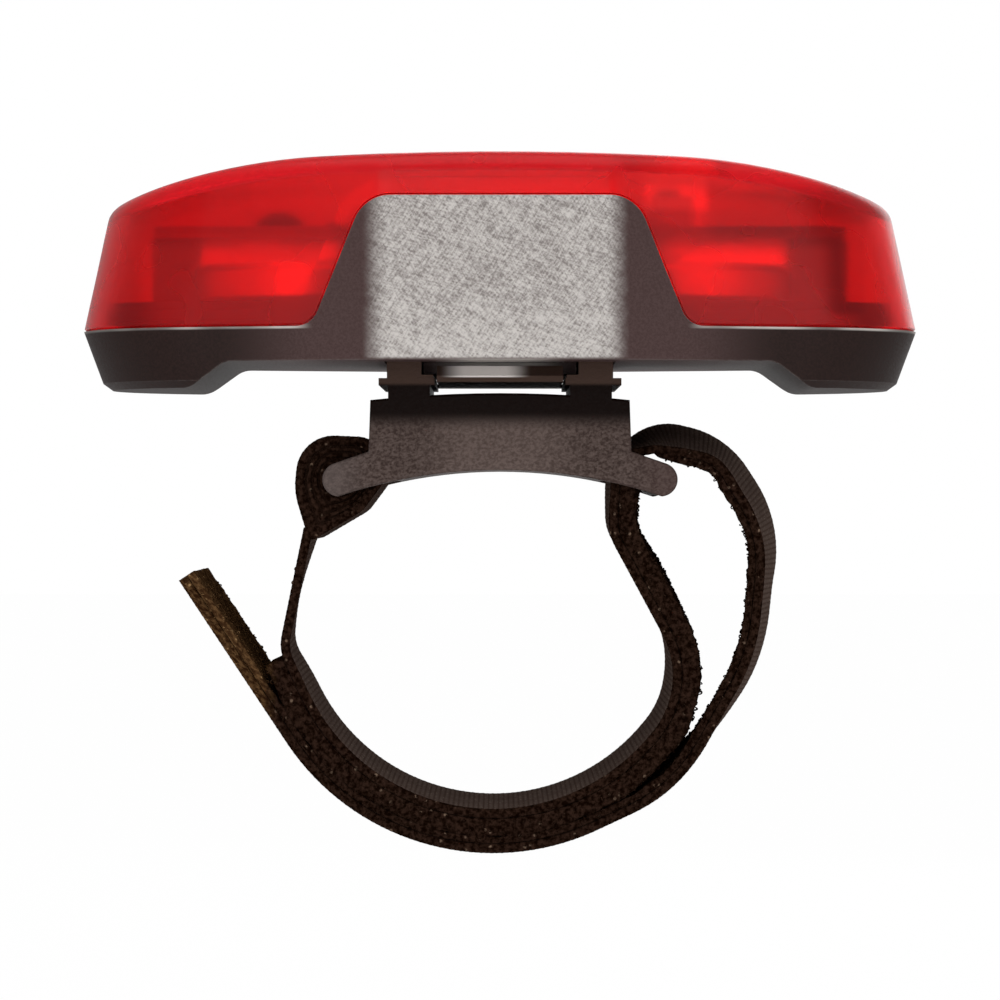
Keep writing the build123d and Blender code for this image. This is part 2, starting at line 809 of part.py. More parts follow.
def make_webbing():
    """Woven strap in one piece: loop, thin leg, ring, return over the right bar and tail."""
    ring_bend = ring_radius - corner_play
    outer_bend = ring_radius + closure_height - corner_play
    points = [leg_top, leg_corner, *inner_ring(), right_corner, slot_corner, over_corner, crown_corner]
    radii = [leg_bend, ring_bend, ring_bend, right_bend, slot_bend, over_bend, top_bend]
    points += [shoulder_corner, side_corner, hip_corner, closing_corner, *outer_ring(), tail_end()]
    radii += [shoulder_bend, side_bend, hip_bend, closing_bend, outer_bend, outer_bend]
    face = band(points, radii, 0, web_thickness) + loop_face()
    return prism(face, -strap_width / 2, strap_width / 2)


def make_loop_tape():
    """Pile tape on the inner layer, outside the ring."""
    ring_bend = ring_radius - corner_play
    start = along(ring_point(ring_left_angle, ring_radius), leg_corner, pile_lead)
    end = along(slot_corner, over_corner, pile_rise)
    points = [start, *inner_ring(), right_corner, slot_corner, end]
    radii = [ring_bend, ring_bend, right_bend, slot_bend]
    face = band(points, radii, web_thickness + tape_gap, web_thickness + pile_thickness)
    return prism(face, -strap_width / 2, strap_width / 2)


def make_hook_tape():
    """Hook tape inside the outer layer and the tail."""
    outer_bend = ring_radius + closure_height - corner_play
    start = along(crown_corner, shoulder_corner, hook_lead)
    points = [start, shoulder_corner, side_corner, hip_corner, closing_corner, *outer_ring(), tail_end()]
    radii = [shoulder_bend, side_bend, hip_bend, closing_bend, outer_bend, outer_bend]
    face = band(points, radii, web_thickness + tape_gap, web_thickness + hook_thickness)
    return prism(face, -strap_width / 2, strap_width / 2)


def make_stitching():
    """Two rows of stitches across the thin leg, under the sewn loop."""
    way = unit(leg_top, leg_corner)
    lean = degrees(atan2(way[0], -way[1]))
    out = web_thickness + stitch_thread / 2
    group = Part()
    for row in range(2):
        run = stitch_start + row * stitch_row_pitch
        x = leg_top[0] + way[0] * run + way[1] * out
        z = leg_top[1] + way[1] * run - way[0] * out
        for index in range(stitch_count):
            y = (index - (stitch_count - 1) / 2) * stitch_pitch
            group += Pos(x, y, z) * Rot(0, -lean, 0) * Box(stitch_thread, stitch_length, stitch_thread)
    return group


def make_parts():
    """Every piece under its node's name."""
    return {
        "bracket_saddle": make_saddle(),
        "latch_tongue": make_latch(),
        "strap_webbing": make_webbing(),
        "strap_loop_tape": make_loop_tape(),
        "strap_hook_tape": make_hook_tape(),
        "strap_stitching": make_stitching(),
        "rear_housing": make_housing(),
        "lens_seal": make_seal(),
        "battery_tray": make_tray(),
        "battery_left": make_cell(cell_left_x),
        "battery_right": make_cell(cell_right_x),
        "battery_bridge_plate": make_bridge_plate(),
        "battery_clip_left": make_clip(cell_left_x, 1),
        "battery_clip_right": make_clip(cell_right_x, -1),
        "circuit_board": make_board(),
        "tray_screws": make_screws(),
        "led_left": make_led(-led_pitch),
        "led_centre": make_led(0),
        "led_right": make_led(led_pitch),
        "led_reflector": make_reflector(),
        "tactile_switch": make_switch(),
        "switch_plunger": make_plunger(),
        "controller_dome": make_chip_dome(),
        "chip_resistors": make_resistors(),
        "lens": make_lens(),
        "power_button": make_button(),
    }


os.makedirs("parts", exist_ok=True)
for name, shape in make_parts().items():
    export_step(shape, f"parts/{name}.step")
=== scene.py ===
import logging
import math
from collections.abc import Callable
from dataclasses import dataclass
from enum import Enum

import bpy
import numpy as np
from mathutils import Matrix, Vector, noise


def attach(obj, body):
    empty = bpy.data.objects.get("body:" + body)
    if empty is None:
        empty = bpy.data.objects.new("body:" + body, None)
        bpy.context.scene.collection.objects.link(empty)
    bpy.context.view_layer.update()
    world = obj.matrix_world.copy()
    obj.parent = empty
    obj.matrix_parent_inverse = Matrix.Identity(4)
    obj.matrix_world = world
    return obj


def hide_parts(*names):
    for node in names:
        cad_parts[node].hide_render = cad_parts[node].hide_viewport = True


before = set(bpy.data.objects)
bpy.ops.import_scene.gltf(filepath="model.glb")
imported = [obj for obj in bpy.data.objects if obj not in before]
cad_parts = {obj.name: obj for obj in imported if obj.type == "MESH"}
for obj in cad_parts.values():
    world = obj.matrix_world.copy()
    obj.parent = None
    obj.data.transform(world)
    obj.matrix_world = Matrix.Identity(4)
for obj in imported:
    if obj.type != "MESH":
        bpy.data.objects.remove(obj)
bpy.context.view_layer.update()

# Looks of a helmet rear light on its strap saddle. Sizes are in millimetres, and MM turns them into metres.
MM = 0.001
LOG = logging.getLogger("rear_light")

Socket = bpy.types.NodeSocket
Source = Socket | float | tuple
Place = tuple[Socket, Socket, Socket]
Triple = tuple[float, float, float]
Colour = tuple[float, float, float, float]


def tone(red: int, green: int, blue: int) -> Colour:
    """Linear colour of a screen colour, each part 0 to 255."""
    parts = [value / 255 for value in (red, green, blue)]
    return (*[p / 12.92 if p <= 0.04045 else ((p + 0.055) / 1.055) ** 2.4 for p in parts], 1.0)


def deselect() -> None:
    """Leave edit mode and select nothing."""
    if bpy.context.object is not None and bpy.context.object.mode != "OBJECT":
        bpy.ops.object.mode_set(mode="OBJECT")
    bpy.ops.object.select_all(action="DESELECT")


def made(operator: Callable[..., set[str]], **settings) -> bpy.types.Object:
    """Object that an operator adds.

    Args:
        operator: The operator.
        settings: Its settings.

    Returns:
        The object, active and selected alone.
    """
    deselect()
    operator(**settings)
    return bpy.context.object


def edit() -> None:
    """Enter edit mode with the whole mesh selected."""
    bpy.ops.object.mode_set(mode="EDIT")
    bpy.ops.mesh.select_all(action="SELECT")


class Weaver:
    """Nodes and links of one shader tree."""

    SMOOTH = {"interpolation_type": "SMOOTHSTEP", "clamp": True}

    def __init__(self, tree: bpy.types.NodeTree) -> None:
        """Keep the tree of a material or a node group."""
        self.tree = tree

    def add(self, kind: str, settings: dict | None = None, **inputs: Source) -> bpy.types.Node:
        """Add a node.

        Args:
            kind: Node type without its ShaderNode prefix.
            settings: The node's own settings.
            inputs: Socket names, with underscores for spaces, and a value or a socket for each.

        Returns:
            The node.
        """
        node = self.tree.nodes.new("ShaderNode" + kind)
        for key, value in (settings or {}).items():
            setattr(node, key, value)
        for key, value in inputs.items():
            self.feed(node.inputs[key.replace("_", " ")], value)
        return node

    def feed(self, socket: Socket, value: Source) -> None:
        """Link a socket to another, or set its value."""
        if isinstance(value, Socket):
            self.tree.links.new(value, socket)
        else:
            socket.default_value = value

    def feed_all(self, node: bpy.types.Node, *values: Source) -> bpy.types.Node:
        """Feed a node's inputs in their order.

        Args:
            node: The node.
            values: Values or sockets for its first inputs.

        Returns:
            The node.
        """
        for socket, value in zip(node.inputs, values):
            self.feed(socket, value)
        return node

    def math(self, operation: str, first: Source, second: Source = 0.0, third: Source = 0.0) -> Socket:
        """Result of a Math node."""
        return self.feed_all(self.add("Math", {"operation": operation}), first, second, third).outputs[0]

    def chain(self, operation: str, *values: Source) -> Socket:
        """Values joined one after the other.

        Args:
            operation: Operation that joins two of them.
            values: Values or sockets.

        Returns:
            The last result's socket.
        """
        total, *others = values
        for value in others:
            total = self.math(operation, total, value)
        return total

    def times(self, *values: Source) -> Socket:
        """Product of values or sockets."""
        return self.chain("MULTIPLY", *values)

    def off(self, value: Socket, centre: float = 0.0) -> Socket:
        """Distance of a value from a centre."""
        return self.math("ABSOLUTE", self.math("SUBTRACT", value, centre) if centre else value)

    def noise(self, vector: Socket, scale: Source, detail: float = 2.0, roughness: float = 0.5) -> Socket:
        """Level of a noise texture at a vector."""
        return self.add("TexNoise", Vector=vector, Scale=scale, Detail=detail, Roughness=roughness).outputs[0]

    def ramp(self, value: Socket, low: float, high: float, start: float = 0.0, end: float = 1.0) -> Socket:
        """Smooth change from start to end, where a value goes from low to high."""
        limits = {"From_Min": low, "From_Max": high, "To_Min": start, "To_Max": end}
        return self.add("MapRange", self.SMOOTH, Value=value, **limits).outputs[0]

    def fall(self, value: Socket, low: float, high: float) -> Socket:
        """Smooth fall of a value from 1 to 0 between two limits."""
        return self.ramp(value, low, high, 1.0, 0.0)

    def mix(self, share: Source, first: Source, second: Source) -> Socket:
        """Mixed colour.

        Args:
            share: Share of the second colour.
            first: First colour or socket.
            second: Second colour or socket.

        Returns:
            The colour's socket.
        """
        node = self.add("Mix", {"data_type": "RGBA"})
        for index, value in ((0, share), (6, first), (7, second)):
            self.feed(node.inputs[index], value)
        return node.outputs[2]

    def coats(self, base: Source, *coats: tuple[Source, Source]) -> Socket:
        """Colour under coats of other colours.

        Args:
            base: The lowest colour.
            coats: Share and colour of each coat, from below.

        Returns:
            The colour's socket.
        """
        for share, colour in coats:
            base = self.mix(share, base, colour)
        return base

    def scaled(self, vector: Socket, factors: Triple, turn: float = 0.0) -> Socket:
        """Vector turned about Y by degrees and then scaled, by its steps per millimetre."""
        turned = {"Rotation": (0, math.radians(turn), 0), "Scale": [MM / factor for factor in factors]}
        return self.add("Mapping", {"vector_type": "TEXTURE"}, Vector=vector, **turned).outputs[0]


class Effect:
    """A node group that several finishes share."""

    def __init__(self, name: str, inputs: dict[str, float], outputs: tuple[str, ...]) -> None:
        """Open the group.

        Args:
            name: Name of the group.
            inputs: Names and defaults of its number inputs; it has a Vector input too.
            outputs: Names of its number outputs.
        """
        self.tree = bpy.data.node_groups.new(name, "ShaderNodeTree")
        self.tree.interface.new_socket("Vector", in_out="INPUT", socket_type="NodeSocketVector")
        for key, default in inputs.items():
            socket = self.tree.interface.new_socket(key, in_out="INPUT", socket_type="NodeSocketFloat")
            socket.default_value = default
        for key in outputs:
            self.tree.interface.new_socket(key, in_out="OUTPUT", socket_type="NodeSocketFloat")
        self.weaver = Weaver(self.tree)
        self.given = self.tree.nodes.new("NodeGroupInput").outputs
        self.result = self.tree.nodes.new("NodeGroupOutput").inputs

    def finish(self, **sockets: Socket) -> bpy.types.NodeTree:
        """Link the outputs.

        Args:
            sockets: Output names and what feeds each.

        Returns:
            The group's tree.
        """
        for key, socket in sockets.items():
            self.tree.links.new(socket, self.result[key])
        return self.tree


def grain_effect() -> bpy.types.NodeTree:
    """Fine moulding grain: coarse cloud and fine pits.

    Returns:
        A group with Height and Tone.
    """
    effect = Effect("moulding_grain", {"Size": 0.3}, ("Height", "Tone"))
    weaver = effect.weaver
    vector = effect.given["Vector"]
    scale = weaver.math("DIVIDE", 1.0 / MM, effect.given["Size"])
    fine = weaver.noise(vector, scale, 3.0, 0.6)
    coarse = weaver.noise(vector, weaver.times(scale, 0.11))
    height = weaver.math("MULTIPLY_ADD", coarse, 0.5, fine)
    return effect.finish(Height=height, Tone=weaver.ramp(coarse, 0.35, 0.65))


def speck_effect() -> bpy.types.NodeTree:
    """Scattered round specks.

    Returns:
        A group with Mask.
    """
    effect = Effect("specks", {"Size": 0.3, "Share": 0.3}, ("Mask",))
    weaver = effect.weaver
    scale = weaver.math("DIVIDE", 1.0 / MM, effect.given["Size"])
    cells = weaver.add("TexVoronoi", Vector=effect.given["Vector"], Scale=scale)
    pick = weaver.add("SeparateColor", Color=cells.outputs["Color"])
    chosen = weaver.math("LESS_THAN", pick.outputs[0], effect.given["Share"])
    near = weaver.fall(cells.outputs["Distance"], 0.15, 0.45)
    return effect.finish(Mask=weaver.times(chosen, near))


def edge_effect() -> bpy.types.NodeTree:
    """Edges found by how far the bevelled normal leans from the face's own.

    Returns:
        A group with Edge.
    """
    effect = Effect("edge_wear", {"Reach": 0.25}, ("Edge",))
    weaver = effect.weaver
    bevel = weaver.add("Bevel", {"samples": 6}, Radius=weaver.times(effect.given["Reach"], MM))
    plain = weaver.add("NewGeometry")
    dot = weaver.add("VectorMath", {"operation": "DOT_PRODUCT"})
    weaver.feed_all(dot, bevel.outputs[0], plain.outputs["Normal"])
    rough = weaver.noise(effect.given["Vector"], 2.0 / MM)
    lean = weaver.ramp(dot.outputs["Value"], 0.985, 0.88)
    return effect.finish(Edge=weaver.times(lean, weaver.ramp(rough, 0.3, 0.6, 0.35, 1.0)))


def thread_effect() -> bpy.types.NodeTree:
    """Fine yarns of a narrow fabric, laid out on its own UV map.

    Returns:
        A group with Height and Tone.
    """
    effect = Effect("yarns", {"Along": 240.0, "Across": 60.0}, ("Height", "Tone"))
    weaver = effect.weaver
    parts = weaver.add("SeparateXYZ", Vector=effect.given["Vector"])
    along = weaver.times(parts.outputs[0], effect.given["Along"])
    across = weaver.times(parts.outputs[1], effect.given["Across"])
    shift = weaver.math("MULTIPLY_ADD", weaver.math("FLOOR", along), 0.5, across)
    ridge = weaver.math("PINGPONG", along, 0.5)
    yarn = weaver.math("PINGPONG", shift, 0.5)
    height = weaver.times(weaver.ramp(ridge, 0.0, 0.35), weaver.ramp(yarn, 0.0, 0.4, 0.4, 1.0))
    place = weaver.add("CombineXYZ", X=along, Y=weaver.times(across, 4.0))
    return effect.finish(Height=height, Tone=weaver.noise(place.outputs[0], 1.0))


EFFECTS = {
    "grain": grain_effect(),
    "specks": speck_effect(),
    "edge": edge_effect(),
    "yarns": thread_effect(),
}


class Shader(Weaver):
    """A material's nodes, with its Principled shader at hand."""

    def __init__(self, name: str, **plain: float) -> None:
        """Start a material.

        Args:
            name: Material name.
            plain: Shader sockets that are the same all over, with underscores for spaces.
        """
        self.material = bpy.data.materials.new(name)
        self.material.use_nodes = True
        super().__init__(self.material.node_tree)
        self.surface = self.tree.nodes["Principled BSDF"]
        for key, value in plain.items():
            self.surface.inputs[key.replace("_", " ")].default_value = value
        coordinates = self.add("TexCoord")
        self.place = coordinates.outputs["Object"]
        self.uv = coordinates.outputs["UV"]

    def paint(
        self, colour: Socket, rough: Socket | None = None, height: Socket | None = None, depth: float = 0.05
    ) -> None:
        """Link what changes over the surface.

        Args:
            colour: Socket for the base colour.
            rough: Socket for the roughness.
            height: Socket for the relief.
            depth: Relief in millimetres.
        """
        self.feed(self.surface.inputs["Base Color"], colour)
        if rough is not None:
            self.feed(self.surface.inputs["Roughness"], rough)
        if height is not None:
            bump = self.add("Bump", Strength=1.0, Distance=depth * MM, Height=height)
            self.feed(self.surface.inputs["Normal"], bump.outputs[0])

    def effect(self, name: str, vector: Socket | None = None, **values: float) -> bpy.types.NodeOutputs:
        """Place a shared effect.

        Args:
            name: Name in EFFECTS.
            vector: Coordinates that it reads, the object's own if left out.
            values: Its number inputs.

        Returns:
            Its outputs.
        """
        node = self.tree.nodes.new("ShaderNodeGroup")
        node.node_tree = EFFECTS[name]
        self.feed(node.inputs["Vector"], self.place if vector is None else vector)
        for key, value in values.items():
            self.feed(node.inputs[key], value)
        return node.outputs

    def parts(self) -> Place:
        """Object coordinates as three numbers in millimetres."""
        return tuple(self.add("SeparateXYZ", Vector=self.scaled(self.place, (1, 1, 1))).outputs)

    def cloud(self, per_mm: float, detail: float = 2.0, roughness: float = 0.5) -> Socket:
        """Noise level at the object's own place, by its steps per millimetre."""
        return self.noise(self.place, per_mm / MM, detail, roughness)


@dataclass(frozen=True)
class Moulded:
    """Plain moulded plastic or rubber with a fine grain and paler edges."""

    name: str
    base: Colour
    pale: Colour
    roughness: float = 0.45
    grain: float = 0.25
    depth: float = 0.012
    reach: float = 0.2
    wear: float = 0.35

    def material(self) -> bpy.types.Material:
        """The finished material."""
        shader = Shader(self.name, IOR=1.5, Specular_IOR_Level=0.3)
        grain = shader.effect("grain", Size=self.grain)
        edge = shader.effect("edge", Reach=self.reach)
        mottled, worn = shader.times(grain["Tone"], 0.15), shader.times(edge["Edge"], self.wear)
        colour = shader.coats(self.base, (mottled, self.pale), (worn, self.pale))
        rough = shader.ramp(grain["Tone"], 0.0, 1.0, self.roughness - 0.06, self.roughness + 0.06)
        shader.paint(colour, rough, grain["Height"], self.depth)
        return shader.material


@dataclass(frozen=True)
class HousingFinish:
    """Dark housing plastic, finely scratched, with painted light: each side's facet painted pale as the front
    light's reflection, the cheeks painted lighter, and painted highlights on the parting line and the foot's
    lip.
    """

    name: str = "housing_plastic"
    dark: Colour = tone(28, 14, 11)
    warm: Colour = tone(50, 33, 30)
    # Painted light: the housing lighter round the cheeks, fading out between cheek_x and end_x as the flanks
    # turn from the front light.
    lit_cheek: Colour = tone(72, 54, 53)
    cheek_x: float = 15.0
    end_x: float = 24.0
    # Colours of the painted reflection on each facet; the darker one also paints the real edge wear.
    wear_and_reflection_low: Colour = tone(124, 117, 114)
    reflection_high: Colour = tone(194, 189, 185)
    # Colour of the painted highlights.
    glint: Colour = tone(205, 198, 192)
    facet_left: float = -10.1
    facet_right: float = 10.0
    facet_fade: float = 1.1
    facet_y: float = 15.0
    facet_z: float = 9.1
    shade_top: float = 15.96
    parting_z: float = 11.96
    foot_half: float = 6.2
    foot_top: float = 9.45
    scratches: tuple[tuple[float, float], ...] = ((35, 1.8), (-42, 1.6), (62, 1.3), (-64, 1.9), (12, 2.4))
    scratch_length: float = 6.6

    def material(self) -> bpy.types.Material:
        """The finished material."""
        shader = Shader(self.name, IOR=1.5, Specular_IOR_Level=0.16)
        place = x, _, z = shader.parts()
        fine = shader.cloud(4.5, 3.0, 0.7)
        grain = shader.effect("grain", Size=0.22)
        edge = shader.effect("edge", Reach=0.22)["Edge"]
        hatch = self.hatch(shader)
        # Painted reflection of the front light on the facet, over its real scratches; brighter low down,
        # fading out by shade_top.
        bright = shader.math("MULTIPLY_ADD", shader.ramp(fine, 0.3, 0.7), 0.45, hatch)
        bright = shader.math("ADD", bright, shader.ramp(z, self.facet_z - 0.2, self.shade_top, 0.2, 0.0))
        colour = shader.coats(
            self.dark,
            # Painted light round the cheeks, fading out towards the ends.
            (shader.fall(shader.off(x), self.cheek_x, self.end_x), self.lit_cheek),
            (shader.times(shader.ramp(fine, 0.35, 0.65), 0.4), self.warm),
            # Real edge wear, paler along the edges.
            (shader.times(edge, 0.3), self.wear_and_reflection_low),
            # Painted highlights along the parting line and on the foot's lip.
            (self.painted_highlights(shader, place), self.glint),
            # Painted reflection: each side's facet painted pale, as the front light reflected from it.
            (self.facet(shader, place), shader.mix(bright, self.wear_and_reflection_low, self.reflection_high)),
        )
        height = shader.math("MULTIPLY_ADD", hatch, 0.6, grain["Height"])
        rough = shader.ramp(fine, 0.3, 0.7, 0.52, 0.66)
        shader.paint(colour, rough, height, 0.012)
        return shader.material

    def facet(self, shader: Shader, place: Place) -> Socket:
        """Where the facet's painted reflection is.

        Args:
            shader: Shader it goes into.
            place: Its coordinates in millimetres.

        Returns:
            A mask, 1 on the facet.
        """
        x, y, z = place
        fade, reach = self.facet_fade, shader.math("MULTIPLY_ADD", shader.cloud(1.2, 3.0), 0.6, x)
        left = shader.ramp(reach, self.facet_left - fade, self.facet_left + fade)
        right = shader.fall(reach, self.facet_right - fade, self.facet_right + fade)
        outer = shader.ramp(shader.off(y), self.facet_y, self.facet_y + 0.4)
        above = shader.ramp(z, self.facet_z, self.facet_z + 0.3)
        return shader.times(left, right, outer, above)

    def painted_highlights(self, shader: Shader, place: Place) -> Socket:
        """Painted highlights: a pale line along the parting line, and a glint on the foot's lip.

        Args:
            shader: Shader they go into.
            place: Its coordinates in millimetres.

        Returns:
            A mask, 1 on the painted highlights.
        """
        x, _, z = place
        line = shader.ramp(shader.off(z, self.parting_z), 0.1, 0.26, 0.75, 0.0)
        broken = shader.ramp(shader.cloud(0.12), 0.35, 0.6, 0.25, 1.0)
        beside = shader.ramp(shader.off(x), self.cheek_x + 0.5, self.cheek_x + 2.5)
        inside = shader.fall(shader.off(x), self.foot_half - 4.6, self.foot_half)
        low = shader.fall(z, self.foot_top - 0.5, self.foot_top - 0.2)
        return shader.math("MAXIMUM", shader.times(line, broken, beside), shader.times(inside, low))

    def hatch(self, shader: Shader) -> Socket:
        """Short, dense scratches both ways, dark and light.

        Args:
            shader: Shader they go into.

        Returns:
            Their level, from -0.4 to 1.
        """
        levels = []
        for angle, size in self.scratches:
            turned = shader.scaled(shader.place, (1 / size, 1 / size, self.scratch_length), angle)
            levels.append(shader.ramp(shader.noise(turned, 1.0, 1.0), 0.36, 0.64, -0.08, 0.2))
        return shader.chain("ADD", *levels)


@dataclass(frozen=True)
class SaddleFinish:
    """Saddle plastic: pale wavy grain over dark brown and a smooth border, with painted light: a dark top
    band of painted shade, rails and latch painted lighter, a painted sheen in the middle and a painted glint
    on the latch's ridge.
    """

    name: str = "saddle_plastic"
    dark: Colour = tone(38, 25, 21)
    pale: Colour = tone(98, 84, 79)
    plain: Colour = tone(98, 88, 85)
    plain_right: Colour = tone(74, 57, 55)
    # Painted shade: the dark band along the saddle's top, under the light.
    band: Colour = tone(14, 4, 2)
    # Painted light: a lighter brown on the rails and latch, where little light reaches.
    lit_rail: Colour = tone(66, 50, 43)
    glint: Colour = tone(253, 247, 243)
    shade_band_z: float = 3.5
    shade_band_fade: float = 1.7
    rail_z: float = 7.2
    glint_x: float = -1.25
    glint_y: float = -10.6
    # Where the painted sheen in the middle fades out.
    centre_sheen_x: tuple[float, float] = (2.0, 8.0)
    wing_x: tuple[float, float] = (10.5, 14.5)
    side_x: float = 12.0
    warp: float = 0.3

    def material(self) -> bpy.types.Material:
        """The finished material."""
        shader = Shader(self.name, IOR=1.5, Specular_IOR_Level=0.06)
        place = x, _, z = shader.parts()
        warp = shader.add("TexNoise", Vector=shader.place, Scale=0.9 / MM, Detail=2.0)
        bent = shader.add("VectorMath", {"operation": "MULTIPLY_ADD"})
        shader.feed_all(bent, warp.outputs["Color"], (self.warp * MM,) * 3, shader.place)
        waves = shader.scaled(bent.outputs[0], (3.4, 3.4, 4.6), -8)
        grain = shader.noise(waves, 1.0, 3.0, 0.6)
        specks = shader.effect("specks", Size=0.26, Share=0.35)["Mask"]
        edge = shader.effect("edge", Reach=0.45)["Edge"]
        level = shader.math("MULTIPLY_ADD", specks, 0.2, shader.ramp(grain, 0.3, 0.72, 0.16, 0.78))
        # Painted sheen: the grain paler near the middle.
        level = shader.math("ADD", level, shader.ramp(shader.off(x), *self.centre_sheen_x, 0.34, 0.0))
        plain = shader.mix(shader.ramp(x, -self.side_x, self.side_x), self.plain, self.plain_right)
        wing = shader.ramp(shader.off(x), *self.wing_x, 0.0, 0.45)
        ragged = shader.math("MULTIPLY_ADD", grain, 0.6, z)
        colour = shader.coats(
            self.dark,
            (level, self.pale),
            (shader.math("MAXIMUM", edge, wing), plain),
            # Painted shade along the top, with a ragged lower edge.
            (shader.ramp(ragged, self.shade_band_z, self.shade_band_z + self.shade_band_fade), self.band),
            # Painted light on the rails and latch, over the painted shade.
            (shader.ramp(z, self.rail_z - 0.2, self.rail_z + 0.2), self.lit_rail),
            # Painted highlight on the latch's ridge.
            (self.painted_glint(shader, place), self.glint),
        )
        rough = shader.ramp(grain, 0.35, 0.65, 0.6, 0.45)
        height = shader.times(grain, shader.math("SUBTRACT", 1.0, edge))
        shader.paint(colour, rough, height, 0.05)
        return shader.material

    def painted_glint(self, shader: Shader, place: Place) -> Socket:
        """Painted highlight on the near face of the latch's ridge.

        Args:
            shader: Shader it goes into.
            place: Its coordinates in millimetres.

        Returns:
            A mask, 1 on the spot.
        """
        x, y, z = place
        near = shader.fall(y, self.glint_y - 0.6, self.glint_y)
        spot = shader.fall(shader.off(x, self.glint_x), 1.6, 3.9)
        return shader.times(spot, near, shader.ramp(z, self.rail_z + 0.5, self.rail_z + 0.7))


@dataclass(frozen=True)
class LensFinish:
    """Clear red lens: bright low down and deeper at mid height, with painted shade at the ends, most of all
    on the right, and a painted glow in front of the button.
    """

    name: str = "lens_red"
    clear: float = 0.84
    rough: float = 0.24
    index: float = 1.24
    red: Colour = (1.0, 0.026, 0.03, 1.0)
    deep: Colour = (0.74, 0.007, 0.014, 1.0)
    crown: Colour = (0.89, 0.01, 0.02, 1.0)
    shade: Colour = (0.56, 0.005, 0.01, 1.0)
    end: Colour = (0.68, 0.004, 0.008, 1.0)
    low_z: float = 18.6
    high_z: float = 20.6
    crown_z: float = 23.2
    crown_fade: float = 1.6
    shade_x: float = 16.0
    end_x: float = 28.0
    end_fade: float = 3.5
    # Painted glow: a brighter red patch in front of the power button.
    spot: tuple[float, float] = (14.6, 23.2)
    spot_half: tuple[float, float] = (2.6, 1.5)
    # Where the painted shade pocket at the right end lies.
    pocket_x: float = 26.6
    pocket_end: float = 31.4
    pocket_z: float = 12.6

    def material(self) -> bpy.types.Material:
        """The finished material."""
        shader = Shader(self.name, IOR=self.index, Transmission_Weight=self.clear)
        x, _, z = shader.parts()
        cloud = shader.cloud(0.12)
        height = shader.math("MULTIPLY_ADD", cloud, 0.8, z)
        # Painted shade: deeper red on the right.
        middle = shader.mix(shader.ramp(x, self.shade_x, self.shade_x + 2.5), self.deep, self.shade)
        sides = [
            shader.fall(shader.off(level, centre), half - 0.5, half + 0.5)
            for level, centre, half in zip((x, z), self.spot, self.spot_half)
        ]
        rise = shader.ramp(x, self.pocket_x, self.pocket_x + 2.0)
        fall = shader.fall(x, self.pocket_end - 1.0, self.pocket_end)
        above = shader.ramp(z, self.pocket_z, self.pocket_z + 1.0)
        colour = shader.coats(
            self.red,
            (shader.ramp(height, self.low_z, self.high_z), middle),
            (shader.ramp(height, self.crown_z, self.crown_z + self.crown_fade), self.crown),
            # Painted shade: deeper red at both ends.
            (shader.ramp(shader.off(x), self.end_x, self.end_x + self.end_fade), self.end),
            # Painted glow in front of the button.
            (shader.times(*sides), self.red),
            # Painted shade in a pocket at the right end.
            (shader.times(rise, fall, above, 0.85), self.shade),
        )
        shader.paint(colour, shader.ramp(cloud, 0.35, 0.65, self.rough, self.rough + 0.05))
        return shader.material


@dataclass(frozen=True)
class MetalFinish:
    """Bare metal, brushed or plated."""

    name: str
    base: Colour
    worn: Colour
    roughness: float = 0.28
    stretch: Triple = (0.4, 0.4, 6.0)

    def material(self) -> bpy.types.Material:
        """The finished material."""
        shader = Shader(self.name, Metallic=1.0)
        brushed = shader.noise(shader.scaled(shader.place, self.stretch), 1.0, 3.0)
        stain = shader.effect("grain", Size=1.4)
        colour = shader.mix(shader.times(stain["Tone"], 0.6), self.base, self.worn)
        rough = shader.ramp(brushed, 0.3, 0.7, self.roughness - 0.08, self.roughness + 0.1)
        shader.paint(colour, rough, brushed, 0.004)
        return shader.material


@dataclass(frozen=True)
class BoardFinish:
    """Pale circuit board with copper tracks under its lacquer."""

    name: str = "board_laminate"
    lacquer: Colour = tone(226, 222, 212)
    track: Colour = tone(196, 190, 170)
    core: Colour = tone(170, 150, 96)
    pitch: float = 1.6
    top_z: float = 20.6

    def material(self) -> bpy.types.Material:
        """The finished material."""
        shader = Shader(self.name, IOR=1.5, Coat_Weight=0.4, Coat_Roughness=0.15)
        x, y, z = shader.parts()
        lanes = shader.math("PINGPONG", shader.math("ADD", y, 20.0), self.pitch / 2)
        cross = shader.math("PINGPONG", shader.math("ADD", x, 60.0), self.pitch * 1.7)
        chosen = shader.ramp(shader.cloud(0.22, 0.0), 0.5, 0.52)
        track = shader.mix(chosen, shader.ramp(lanes, 0.25, 0.32), shader.fall(cross, 0.2, 0.28))
        grain = shader.effect("grain", Size=0.3)
        top = shader.ramp(z, self.top_z, self.top_z + 0.06)
        colour = shader.mix(top, self.core, shader.mix(track, self.lacquer, self.track))
        height = shader.math("MULTIPLY_ADD", grain["Height"], 0.3, track)
        shader.paint(colour, shader.ramp(grain["Tone"], 0.0, 1.0, 0.35, 0.5), height, 0.02)
        return shader.material


class Yarn(Enum):
    """Kinds of strap fabric."""

    WEAVE = "strap_weave"
    PILE = "strap_pile"
    HOOKS = "strap_hooks"


